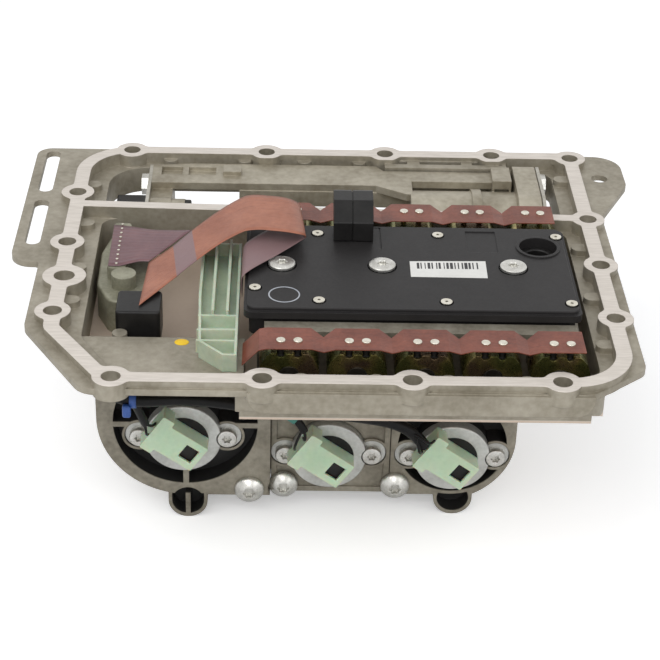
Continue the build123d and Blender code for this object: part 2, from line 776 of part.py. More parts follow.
for number, x in enumerate(valve_xs, start=1):
    # Front valve: an open can, and the plunger that slides in its coil
    with BuildPart() as front_solenoid:
        with BuildSketch(valve_plane(x, block_front_y)):
            add(can_face)
        extrude(amount=plate_seat)
        with BuildSketch(valve_plane(x, block_front_y).offset(can_floor)):
            add(can_inner)
        extrude(amount=can_length, mode=Mode.SUBTRACT)
        with BuildSketch(valve_plane(x, block_front_y)):
            Circle(nozzle_radius)
        extrude(amount=-nozzle_length)
        with BuildSketch(valve_plane(x, block_front_y).offset(can_floor)):
            Circle(tip_radius + tip_gap)
        extrude(amount=-can_floor - nozzle_length, mode=Mode.SUBTRACT)
        with BuildSketch(valve_plane(x, block_front_y).offset(post_reach - post_radius - fit_gap)):
            add(can_slots)
        extrude(amount=can_length, mode=Mode.SUBTRACT)
    finish(front_solenoid.part, f"front_solenoid_{number}")

    with BuildPart() as front_plunger:
        with BuildSketch(valve_plane(x, block_front_y).offset(can_floor + plunger_clear)):
            Circle(plunger_radius)
        extrude(amount=core_tip - plunger_travel - 2 * plunger_clear - can_floor)
        chamfer(front_plunger.edges().filter_by(GeomType.CIRCLE), plunger_chamfer)
        with BuildSketch(valve_plane(x, block_front_y).offset(can_floor + plunger_clear)):
            Circle(tip_radius)
        extrude(amount=-can_floor - plunger_clear - nozzle_length / 2)
    finish(front_plunger.part, f"front_plunger_{number}")

    # Rear valve: the same unit, closed by its own end plate
    with BuildPart() as rear_solenoid:
        with BuildSketch(valve_plane(x, block_rear_y, True)):
            add(can_face)
        extrude(amount=can_length)
        with BuildSketch(valve_plane(x, block_rear_y, True)):
            Circle(nozzle_radius)
        extrude(amount=-nozzle_length)
        with BuildSketch(valve_plane(x, block_rear_y, True).offset(can_length)):
            Circle(core_radius)
        extrude(amount=core_proud)
        with BuildSketch(at_rise(can_flat - 1 - valve_depth)):
            with Locations(*[(x + dx, block_rear_y + post_reach) for dx, _ in post_spots]):
                Circle(post_radius)
        extrude(amount=post_height - can_flat + 1)
    finish(rear_solenoid.part, f"rear_solenoid_{number}")

with BuildPart() as front_end_plates:
    for x in valve_xs:
        with BuildSketch(valve_plane(x, block_front_y).offset(plate_seat)):
            add(can_face)
            Circle(core_radius + fit_gap, mode=Mode.SUBTRACT)
            with Locations(*[(dx, can_flat) for dx, _ in post_spots]):
                Circle(notch_radius, mode=Mode.SUBTRACT)
        extrude(amount=end_plate_thickness)
finish(front_end_plates.part, "front_end_plates")

with BuildPart() as solenoid_coils:
    for x in valve_xs:
        with BuildSketch(valve_plane(x, block_front_y).offset(can_floor + fit_gap)):
            add(coil_face)
        extrude(amount=plate_seat - can_floor - 2 * fit_gap)
        with BuildSketch(at_rise(coil_top - 1 - valve_depth)):
            with Locations(*[(x + dx, block_front_y - post_reach) for dx, _ in post_spots]):
                Circle(post_radius)
        extrude(amount=post_height - coil_top + 1)
        with BuildSketch(valve_plane(x, block_front_y)):
            Circle(plunger_radius + plunger_gap)
        extrude(amount=plate_seat, mode=Mode.SUBTRACT)
finish(solenoid_coils.part, "solenoid_coils")

with BuildPart() as solenoid_cores:
    for x in valve_xs:
        with BuildSketch(valve_plane(x, block_front_y).offset(core_tip)):
            Circle(plunger_radius)
        extrude(amount=plate_seat - core_tip)
        with BuildSketch(valve_plane(x, block_front_y).offset(plate_seat)):
            Circle(core_radius)
        extrude(amount=end_plate_thickness + core_proud)
finish(solenoid_cores.part, "solenoid_cores")

pin_spots = [
    (x + dx, y)
    for y in (block_front_y - post_reach, block_rear_y + post_reach)
    for x in valve_xs
    for dx, _ in post_spots
]
with BuildPart() as solenoid_pins:
    with BuildSketch(at_rise(ribbon_rise - film / 2)):
        with Locations(*pin_spots):
            Circle(pin_radius)
    extrude(amount=film)
    with BuildSketch(at_rise(ribbon_rise + film / 2)):
        with Locations(*pin_spots):
            Circle(pin_head_radius)
    extrude(amount=pin_head_height)
    fillet(solenoid_pins.edges().group_by(Axis.Z)[-1], 0.45 * pin_head_height)
finish(solenoid_pins.part, "solenoid_pins")


def ribbon_line(left_tail):
    """Side view of a ribbon: level over each valve, dipped between them."""
    points = list(left_tail)
    for x in valve_xs:
        points += [(x - hump_half, level(ribbon_rise)), (x + hump_half, level(ribbon_rise))]
        if x != valve_xs[-1]:
            points.append((x + valve_pitch / 2, level(ribbon_rise - ribbon_dip)))
    return points


def ribbon_face(left_tail):
    """Thin upright section of a ribbon, drawn along its side view."""
    top = [(x, z + film / 2) for x, z in ribbon_line(left_tail)]
    under = [(x, z - film / 2) for x, z in ribbon_line(left_tail)]
    return make_face(Polyline(*top, *reversed(under), close=True))


def ribbon_cuts(notch_y, pins_y):
    """Notches between the valves and pin holes of a ribbon, in plan."""
    with BuildSketch() as cuts:
        for x in valve_xs[:-1]:
            mid = x + valve_pitch / 2
            with BuildLine():
                Polyline(
                    (mid - ribbon_notch - 1, notch_y + 1),
                    (mid, notch_y - ribbon_notch),
                    (mid + ribbon_notch + 1, notch_y + 1),
                    close=True,
                )
            make_face()
        with Locations(*[(x, y) for x, y in pin_spots if y == pins_y]):
            Circle(pin_radius + pin_gap)
    return cuts.sketch


front_tail = [(tail_end_x, level(-tail_drop)), (valve_xs[0] - 1.35 * hump_half, level(ribbon_rise - 1))]
front_section = ribbon_face(front_tail)
rear_section = ribbon_face([])
front_cuts = ribbon_cuts(front_ribbon_rear_y, block_front_y - post_reach)
rear_cuts = ribbon_cuts(rear_ribbon_rear_y, block_rear_y + post_reach)
with BuildPart() as front_flex:
    with BuildSketch(facing_front(front_ribbon_rear_y)):
        add(front_section)
    extrude(amount=front_ribbon_rear_y - front_ribbon_front_y)
    with BuildSketch(at_rise(ribbon_rise - 3 * ribbon_dip)):
        add(front_cuts)
    extrude(amount=6 * ribbon_dip, mode=Mode.SUBTRACT)
finish(front_flex.part, "front_flex")
with BuildPart() as rear_flex:
    with BuildSketch(facing_front(rear_ribbon_rear_y)):
        add(rear_section)
    extrude(amount=rear_ribbon_rear_y - rear_ribbon_front_y)
    with BuildSketch(at_rise(ribbon_rise - 3 * ribbon_dip)):
        add(rear_cuts)
    extrude(amount=6 * ribbon_dip, mode=Mode.SUBTRACT)
finish(rear_flex.part, "rear_flex")


# Control unit: a tray, its circuit board and a screwed and riveted lid
def unit_rectangle(inset, corner):
    """Rounded rectangle of the control unit, drawn in by an inset."""
    with BuildSketch() as outline:
        with Locations((unit_mid_x, unit_mid_y)):
            RectangleRounded(unit_length - 2 * inset, unit_width - 2 * inset, corner)
    return outline.sketch


lid_outline = unit_rectangle(0, unit_corner)
lid_top = unit_rectangle(cover_step_width, unit_corner)
groove_line = Polyline(*lid_groove)
tray_outline = unit_rectangle(base_inset, unit_corner)
tray_inner = unit_rectangle(base_inset + unit_wall, unit_corner - unit_wall)
board_outline = unit_rectangle(base_inset + unit_wall + board_gap, unit_corner - unit_wall)
screw_spots = [Location((x, y, level(unit_rise))) for x, y in cover_screws]
rivet_spots = [Location((x, y, level(unit_rise))) for x, y in cover_rivets]
split_rise = unit_rise - cover_height
with BuildPart() as control_cover:
    with BuildSketch(at_rise(split_rise)):
        add(lid_outline)
    extrude(amount=cover_height - cover_step)
    with BuildSketch(at_rise(unit_rise - cover_step)):
        add(lid_top)
    extrude(amount=cover_step)
    fillet(control_cover.faces().sort_by(Axis.Z)[-1].edges(), cover_edge)
    with BuildSketch(at_rise(unit_rise)):
        with Locations(port_centre):
            Circle(port_radius + port_lip)
    extrude(amount=port_rim)
    with BuildSketch(at_rise(split_rise)):
        add(tray_inner)
        with Locations(*cover_screws):
            Circle(tower_radius, mode=Mode.SUBTRACT)
        with Locations(*cover_rivets):
            Circle(rivet_boss, mode=Mode.SUBTRACT)
        with Locations(port_centre):
            Circle(port_radius + unit_wall, mode=Mode.SUBTRACT)
    extrude(amount=cover_height - lid_thickness, mode=Mode.SUBTRACT)
    with Locations(*screw_spots):
        Hole(screw_radius + screw_gap, depth=cover_height)
    with Locations(*rivet_spots):
        Hole(rivet_shank + fit_gap, depth=cover_height)
    with Locations(Location((*port_centre, level(unit_rise + port_rim)))):
        Hole(port_radius, depth=cover_height + port_rim)
    with BuildSketch(at_rise(unit_rise)):
        with Locations(cover_panel[:2]):
            Rectangle(*cover_panel[2:])
    extrude(amount=-panel_depth, mode=Mode.SUBTRACT)
    with BuildSketch(at_rise(unit_rise)):
        trace(groove_line, line_width=lid_groove_width)
    extrude(amount=-lid_groove_depth, mode=Mode.SUBTRACT)
finish(control_cover.part, "control_cover")

with BuildPart() as control_base:
    with BuildSketch(at_rise(-base_depth)):
        add(tray_outline)
    extrude(amount=base_depth + split_rise)
    with BuildSketch(at_rise(unit_wall - base_depth)):
        add(tray_inner)
        with Locations(*cover_screws):
            Circle(tower_radius, mode=Mode.SUBTRACT)
        with Locations(port_centre):
            Circle(port_radius + unit_wall, mode=Mode.SUBTRACT)
    extrude(amount=base_depth + split_rise - unit_wall, mode=Mode.SUBTRACT)
    with BuildSketch(at_rise(port_seat)):
        with Locations(port_centre):
            Circle(port_radius)
    extrude(amount=split_rise - port_seat, mode=Mode.SUBTRACT)
    with BuildSketch(at_rise(unit_wall - base_depth)):
        with Locations(*board_posts):
            Circle(post_radius)
    extrude(amount=board_lift)
    with Locations(*screw_spots):
        Hole(screw_radius + screw_gap, depth=base_depth + unit_rise)
finish(control_base.part, "control_base")

with BuildPart() as circuit_board:
    with BuildSketch(at_rise(unit_wall - base_depth + board_lift)):
        add(board_outline)
        with Locations(*cover_screws):
            Circle(tower_radius + board_gap, mode=Mode.SUBTRACT)
        with Locations(port_centre):
            Circle(port_radius + unit_wall + board_gap, mode=Mode.SUBTRACT)
    extrude(amount=board_thickness)
finish(circuit_board.part, "circuit_board")

with BuildPart() as port_ring:
    with BuildSketch(at_rise(port_seat)):
        with Locations(port_centre):
            Circle(port_radius - fit_gap)
            Circle(port_bore, mode=Mode.SUBTRACT)
    extrude(amount=split_rise + 1 - port_seat)
    chamfer(port_ring.faces().sort_by(Axis.Z)[-1].edges(), 0.6)
finish(port_ring.part, "port_ring")

with BuildPart() as control_screws:
    with BuildSketch(at_rise(unit_rise)):
        with Locations(*cover_screws):
            Circle(screw_head_radius)
    extrude(amount=screw_head_height)
    fillet(control_screws.faces().sort_by(Axis.Z)[-3:].edges(), 0.6)
    with BuildSketch(at_rise(unit_rise)):
        with Locations(*cover_screws):
            Circle(screw_radius)
    extrude(amount=-unit_rise - base_depth - screw_grip + 1)
    for x, y in cover_screws:
        with BuildSketch(at_rise(unit_rise + screw_head_height)):
            with Locations((x, y)):
                RegularPolygon(torx_radius, 6)
        extrude(amount=-0.8 * screw_head_height, mode=Mode.SUBTRACT)
finish(control_screws.part, "control_screws")

with BuildPart() as rivets:
    with BuildSketch(at_rise(unit_rise)):
        with Locations(*cover_rivets):
            Circle(rivet_radius)
            Circle(rivet_bore, mode=Mode.SUBTRACT)
    extrude(amount=rivet_head)
    with BuildSketch(at_rise(unit_rise)):
        with Locations(*cover_rivets):
            Circle(rivet_shank)
            Circle(rivet_bore, mode=Mode.SUBTRACT)
    extrude(amount=-cover_height)
finish(rivets.part, "cover_rivets")


# Flat flexible circuits between the sockets and the control unit
def band(lines, thickness):
    """Thin strip laid through a row of cross lines, each with its two ends and its upper side."""
    with BuildPart() as strip:
        for near, far, upper in lines:
            start, end = Vector(*near), Vector(*far)
            along = (end - start).normalized()
            with BuildSketch(Plane(origin=(start + end) / 2, x_dir=along, z_dir=along.cross(Vector(*upper)))):
                Rectangle((end - start).length, thickness)
        loft(ruled=True)
    return strip.part


def risen(line):
    """Moves a cross line that is given from the sealing face to its height above the feet."""
    near, far, upper = line
    return ((near[0], near[1], level(near[2])), (far[0], far[1], level(far[2])), upper)


socket_pin_spots = [
    (socket_pin_x, socket_pin_front + i * (socket_pin_rear - socket_pin_front) / (socket_pin_count - 1))
    for i in range(socket_pin_count)
]

loop_band = band([risen(line) for line in loop_lines], film)
branch_band = band([risen(line) for line in branch_lines], film)
with BuildPart() as loop_flex:
    add(loop_band)
finish(loop_flex.part, "loop_flex")

with BuildPart() as branch_flex:
    add(branch_band)
    for x, y in socket_pin_spots:
        with Locations((x, y, level(branch_rise))):
            Cylinder(socket_pin_radius + pin_gap, 4 * film, mode=Mode.SUBTRACT)
finish(branch_flex.part, "branch_flex")

# Left socket unit with its row of pins, and the two black plugs
socket_outline = rounded_face(socket_points, socket_radii)
with BuildPart() as socket_unit:
    with BuildSketch(at_rise(-floor_depth)):
        add(socket_outline)
    extrude(amount=floor_depth - socket_depth)
    fillet(socket_unit.faces().sort_by(Axis.Z)[-1].edges(), 1.5)
    with BuildSketch(at_rise(-socket_depth)):
        with Locations((socket_pin_x, (socket_pin_front + socket_pin_rear) / 2)):
            RectangleRounded(socket_neck_width, socket_pin_rear - socket_pin_front + 8, 3)
        with Locations(socket_dome):
            Circle(socket_dome_radius)
    extrude(amount=socket_depth + branch_rise - film / 2)
    for x, y in socket_pin_spots:
        with Locations((x, y, level(branch_rise))):
            Hole(socket_pin_radius, depth=socket_pin_length)
finish(socket_unit.part, "socket_unit")

with BuildPart() as socket_pins:
    for x, y in socket_pin_spots:
        with Locations((x, y, level(branch_rise + film / 2 + socket_pin_proud))):
            Cylinder(
                socket_pin_radius - pin_gap,
                socket_pin_length,
                align=(Align.CENTER, Align.CENTER, Align.MAX),
            )
finish(socket_pins.part, "socket_pins")

with BuildPart() as side_plug:
    with BuildSketch(at_rise(-floor_depth)):
        with Locations(side_plug_centre):
            RectangleRounded(side_plug_size - 7, side_plug_size - 9, 2)
    extrude(amount=floor_depth - side_plug_depth)
    with BuildSketch(at_rise(-side_plug_depth)):
        with Locations(side_plug_centre):
            RectangleRounded(side_plug_size, side_plug_size, 2.5)
    extrude(amount=side_plug_depth + side_plug_rise)
    fillet(side_plug.faces().sort_by(Axis.Z)[-1].edges(), 1.5)
finish(side_plug.part, "side_plug")

top_plug_profile = make_face(Polyline(*[(y, level(rise)) for y, rise in top_plug_points], close=True))
with BuildPart() as top_plug:
    with BuildSketch(facing_right(top_plug_x)):
        add(top_plug_profile)
    extrude(amount=top_plug_length)
    fillet(top_plug.edges().filter_by(Axis.X), 1.2)
    with BuildSketch(facing_right(top_plug_x + top_plug_split)):
        add(top_plug_profile)
        offset(top_plug_profile, amount=-top_plug_groove, mode=Mode.SUBTRACT)
    extrude(amount=top_plug_groove, mode=Mode.SUBTRACT)
finish(top_plug.part, "top_plug")

# Pale bracket that guides the flexible circuits beside the control unit
bracket_left, bracket_right = bracket_x
with BuildPart() as cable_bracket:
    with BuildSketch(at_rise(-ledge_depth)):
        with BuildLine():
            Polyline(*bracket_points, close=True)
        make_face()
    extrude(amount=bracket_floor)
    with BuildSketch(at_rise(bracket_floor - ledge_depth)):
        with BuildLine():
            Polyline(*bracket_points, close=True)
        make_face()
        offset(amount=-bracket_wall, mode=Mode.SUBTRACT)
        for y in bracket_ribs_y:
            with Locations(((bracket_left + bracket_right) / 2, y)):
                Rectangle(bracket_right - bracket_left - 1, bracket_wall)
    extrude(amount=bracket_height)
    with BuildSketch(at_rise(bracket_floor - ledge_depth)):
        for x in bracket_rails_x:
            with Locations((x, (bracket_ribs_y[-1] + bracket_rear_y) / 2)):
                Rectangle(bracket_wall, bracket_rear_y - bracket_ribs_y[-1] - 1)
    extrude(amount=bracket_height + rail_rise)
    with BuildSketch(at_rise(-ledge_depth)):
        with Locations(*bracket_legs):
            Circle(leg_radius)
    extrude(amount=ledge_depth - floor_depth)
finish(cable_bracket.part, "cable_bracket")

# Shift actuator across the rear compartment
with BuildPart() as shift_cylinder:
    with BuildSketch(at_rise(-bar_depth)):
        with BuildLine():
            Polyline(*bar_points, close=True)
        make_face()
    extrude(amount=-bar_thickness)
    with BuildSketch(at_rise(-bar_depth - bar_thickness)):
        with Locations((rail_left_x, bar_front_y)):
            Rectangle(cylinder_left_x - rail_left_x, rail_width, align=(Align.MIN, Align.MIN))
    extrude(amount=-rail_height)
    with BuildSketch(at_rise(-bar_depth)):
        with Locations(bar_pad[:2]):
            Rectangle(*bar_pad[2:])
    extrude(amount=pad_rise)
    with BuildSketch(facing_right(head_left_x)):
        with Locations((rod_y, level(-rod_depth))):
            Circle(collar_radius)
        with Locations((rod_y, level(-bar_depth - bar_thickness))):
            Rectangle(rear_inner_y - 4 - rod_y, rod_depth, align=(Align.MIN, Align.MAX))
    extrude(amount=head_length)
    with BuildSketch(facing_right(head_left_x + head_length)):
        with Locations((rod_y, level(-rod_depth))):
            Circle(collar_radius - 1)
    extrude(amount=collar_length)
    for left, right, radius in cylinder_steps:
        with BuildSketch(facing_right(left)):
            with Locations((cylinder_y, level(-cylinder_depth))):
                Circle(radius)
        extrude(amount=right - left)
    with BuildSketch(facing_right(hook_x[0])):
        with Locations((hook_y, level(-hook_top))):
            Rectangle(hook_width, cylinder_depth, align=(Align.MIN, Align.MAX))
    extrude(amount=hook_x[1] - hook_x[0])
    with BuildSketch(facing_right(hook_x[0] + hook_slot_wall)):
        with Locations((hook_y, level(-hook_slot_depth))):
            Rectangle(*hook_slot, align=(Align.MIN, Align.MAX))
    extrude(amount=hook_x[1] - hook_x[0] - 2 * hook_slot_wall, mode=Mode.SUBTRACT)
    with BuildSketch(at_rise(-bar_depth)):
        for left, right in bar_pockets_x:
            with Locations((left, bar_front_y + bar_pocket_inset)):
                Rectangle(right - left, bar_pocket_width, align=(Align.MIN, Align.MIN))
    extrude(amount=-bar_pocket_depth, mode=Mode.SUBTRACT)
    with Locations(Location((head_left_x + head_length + collar_length, rod_y, level(-rod_depth)), (0, 90, 0))):
        Hole(rod_radius + running_gap, depth=head_length + collar_length)
finish(shift_cylinder.part, "shift_cylinder")

with BuildPart() as shift_rod:
    with BuildSketch(facing_right(rod_left_x)):
        with Locations((rod_y, level(-rod_depth))):
            Circle(rod_radius)
    extrude(amount=rod_right_x - rod_left_x)
    with BuildSketch(facing_right(rod_right_x - nut_length - 1.5)):
        with Locations((rod_y, level(-rod_depth))):
            RegularPolygon(nut_radius, 6)
    extrude(amount=nut_length)
    chamfer(shift_rod.faces().sort_by(Axis.X)[-1].edges(), 0.8)
finish(shift_rod.part, "shift_rod")

collar_end_x = head_left_x + head_length + collar_length
with BuildPart() as rod_seal:
    with BuildSketch(facing_right(collar_end_x)):
        with Locations((rod_y, level(-rod_depth))):
            Circle(seal_radius)
            Circle(rod_radius + 2 * running_gap, mode=Mode.SUBTRACT)
    extrude(amount=seal_length)
    fillet(rod_seal.faces().sort_by(Axis.X)[-1].edges().sort_by(SortBy.LENGTH)[-1:], 1.0)
finish(rod_seal.part, "rod_seal")

end_cover_face = rounded_face([(y, level(rise)) for y, rise in end_cover_points], end_cover_radii)
with BuildPart() as cylinder_end_cover:
    with BuildSketch(facing_right(end_cover_x)):
        add(end_cover_face)
    extrude(amount=end_cover_length)
    fillet(cylinder_end_cover.faces().sort_by(Axis.X)[-1].edges(), 1.5)
finish(cylinder_end_cover.part, "cylinder_end_cover")

with BuildPart() as actuator_plates:
    with BuildSketch(facing_right(end_cover_x + end_cover_length)):
        add(end_cover_face)
    extrude(amount=steel_plate)
    with BuildSketch(facing_right(head_left_x)):
        with Locations((rod_y - collar_radius + 2, level(-bar_depth))):
            Rectangle(
                rear_inner_y - rod_y + collar_radius - 5, 2 * collar_radius, align=(Align.MIN, Align.MAX)
            )
    extrude(amount=-steel_plate)
finish(actuator_plates.part, "actuator_plates")

with BuildPart() as actuator_bolts:
    for y, depth in right_bolt_spots:
        with BuildSketch(facing_right(end_cover_x + end_cover_length + steel_plate)):
            with Locations((y, level(-depth))):
                RegularPolygon(hex_radius, 6)
        extrude(amount=hex_height)
    for y, depth in left_bolt_spots:
        with BuildSketch(facing_right(head_left_x - steel_plate)):
            with Locations((y, level(-depth))):
                RegularPolygon(hex_radius, 6)
        extrude(amount=-hex_height)
finish(actuator_bolts.part, "actuator_bolts")

with BuildPart() as position_sensor:
    with BuildSketch(facing_right(head_left_x - steel_plate)):
        with Locations((sensor_y, level(-sensor_depth))):
            RectangleRounded(sensor_width, sensor_height, 2)
    extrude(amount=-sensor_length)
    fillet(position_sensor.faces().sort_by(Axis.X)[0].edges(), 1.0)
finish(position_sensor.part, "position_sensor")


# Cylinder block under the pan and its three end covers
def foot_hollow(centre_x, top_z):
    """Recess in the front of a foot, which leaves a thin wall along its side and sole."""
    hollow = foot_radius - foot_wall
    with BuildSketch() as recess:
        with Locations((centre_x, foot_radius)):
            Circle(hollow)
            Rectangle(2 * hollow, top_z - foot_radius, align=(Align.CENTER, Align.MIN))
    return recess.sketch


def lobe(centre_x, half, centre_z):
    """Foot that hangs under a cylinder: straight sides and a round sole."""
    with BuildSketch() as outline:
        with Locations((centre_x, foot_radius)):
            Circle(foot_radius)
        with Locations((centre_x, foot_radius)):
            Rectangle(2 * half, centre_z - foot_radius, align=(Align.CENTER, Align.MIN))
    return outline.sketch


def round_off(centre, radius):
    """Outer lower corner outside the round end of a cover."""
    side = Align.MAX if centre[0] < 0 else Align.MIN
    with BuildSketch() as corner:
        with Locations(centre):
            Rectangle(2 * radius, 2 * radius, align=(side, Align.MAX))
            Circle(radius, mode=Mode.SUBTRACT)
    return corner.sketch


def cover_face(left, right, centre, radius, bottom, foot_x, screws):
    """Front outline of an end cover: a round end, a foot and the ears of its screws."""
    outer_corner = round_off(centre, radius) if centre else None
    sole = lobe(foot_x, foot_width / 2, centre[1]) if foot_x else None
    with BuildSketch() as outline:
        if centre:
            with Locations(centre):
                Circle(radius)
        with Locations((left, cover_top)):
            Rectangle(right - left, cover_top - bottom, align=(Align.MIN, Align.MAX))
        if centre:
            add(outer_corner, mode=Mode.SUBTRACT)
        with Locations((0, bottom)):
            Rectangle(400, 100, align=(Align.CENTER, Align.MAX), mode=Mode.SUBTRACT)
        if foot_x:
            add(sole)
        with Locations(*screws):
            Circle(ear_radius)
        with Locations((0, cover_top)):
            Rectangle(400, 100, align=(Align.CENTER, Align.MIN), mode=Mode.SUBTRACT)
        for edge_x, side in ((left, Align.MAX), (right, Align.MIN)):
            with Locations((edge_x, 0)):
                Rectangle(100, 400, align=(side, Align.CENTER), mode=Mode.SUBTRACT)
    return outline.sketch


def cover_faces(gap):
    """The three cover outlines, left to right, with a gap at each split."""
    left = cover_face(
        left_arc[0] - left_arc[2], -split_x - gap / 2, left_arc[:2], left_arc[2],
        left_arc[1] - left_arc[2], left_foot_x, flange_screws[:1],
    )
    middle = cover_face(
        gap / 2 - split_x, split_x - gap / 2, None, 0, middle_bottom, None, flange_screws[1:2]
    )
    right = cover_face(
        split_x + gap / 2, right_arc[0] + right_arc[2], right_arc[:2], right_arc[2],
        right_bottom, right_foot_x, flange_screws[2:],
    )
    return left, middle, right


left_face, middle_face, right_face = cover_faces(split_gap)
left_pocket = (left_pocket_centre, left_pocket_radius, left_web_z)
right_pocket = (right_pocket_centre, right_pocket_radius, None)
end_covers = (
    ("left", left_face, cover_front_left_y, coil_centres[0], left_pocket, flange_screws[0]),
    ("middle", middle_face, cover_front_y, coil_centres[1], None, flange_screws[1]),
    ("right", right_face, cover_front_y, coil_centres[2], right_pocket, flange_screws[2]),
)


def plug_plane(centre, y):
    """Upright plane on a plug, turned with it; its normal points to the front."""
    spot = (centre[0] + plug_shift[0], y, centre[1] + plug_shift[1])
    along = (cos(radians(plug_turn)), 0, sin(radians(plug_turn)))
    return Plane(origin=spot, x_dir=along, z_dir=(0, -1, 0))


def ear_spots(centre):
    """Both screw places of a retainer."""
    return [(centre[0] - coil_spacing / 2, centre[1]), (centre[0] + coil_spacing / 2, centre[1])]


def hub_face(centre, disc_grow, ear_grow):
    """Hub behind a retainer: a disc with an ear at each of its two screws."""
    with BuildSketch() as outline:
        with Locations(centre):
            Circle(retainer_radius + disc_grow)
        with Locations(*ear_spots(centre)):
            Circle(retainer_ear + ear_grow)
    return outline.sketch


right_hollow = foot_hollow(right_foot_x, right_foot_top)
left_hollow = foot_hollow(left_foot_x, left_foot_top)
with BuildSketch() as left_foot_rib:
    with Locations((left_foot_x, 0)):
        Rectangle(foot_rib, 2 * left_foot_top, align=(Align.CENTER, Align.CENTER))
panel_outline = offset(middle_face, amount=-cover_border)
solid_faces = cover_faces(0)
left_sole = lobe(left_foot_x, foot_width / 2, left_arc[1])
right_sole = lobe(right_foot_x, foot_width / 2, right_arc[1])
with BuildPart() as cylinder_block:
    for outline, front_y in zip(solid_faces, (cover_front_left_y, cover_front_y, cover_front_y)):
        with BuildSketch(facing_front(front_y + cover_thickness + gasket)):
            add(outline)
        extrude(amount=front_y + cover_thickness + gasket - shoulder_y)
    with BuildSketch(facing_front(shoulder_y)):
        with Locations(left_arc[:2]):
            Circle(left_barrel)
        with Locations(coil_centres[1]):
            Circle(middle_barrel)
        with Locations(right_arc[:2]):
            Circle(right_barrel)
        with Locations((left_arc[0], middle_bottom + 2 * web_half)):
            Rectangle(right_arc[0] - left_arc[0], 2 * web_half, align=(Align.MIN, Align.CENTER))
        add(left_sole)
        add(right_sole)
        with Locations((0, cover_top)):
            Rectangle(400, 200, align=(Align.CENTER, Align.MIN), mode=Mode.SUBTRACT)
    extrude(amount=shoulder_y - cylinder_rear_y)
    with BuildSketch(at_rise(-floor_depth - floor_thickness)):
        with Locations((block_flange[0], block_flange[2])):
            Rectangle(
                block_flange[1] - block_flange[0], block_flange[3] - block_flange[2],
                align=(Align.MIN, Align.MIN),
            )
    extrude(amount=cover_top - level(-floor_depth - floor_thickness) - block_flange_overlap)
    for _, _, front_y, centre, _, screw in end_covers:
        with BuildSketch(facing_front(front_y + cover_thickness + gasket)):
            with Locations(centre):
                Circle(coil_radius + fit_gap)
            with Locations(*flange_screws):
                Circle(screw_radius + fit_gap)
        extrude(amount=-coil_bore, mode=Mode.SUBTRACT)
finish(cylinder_block.part, "cylinder_block")

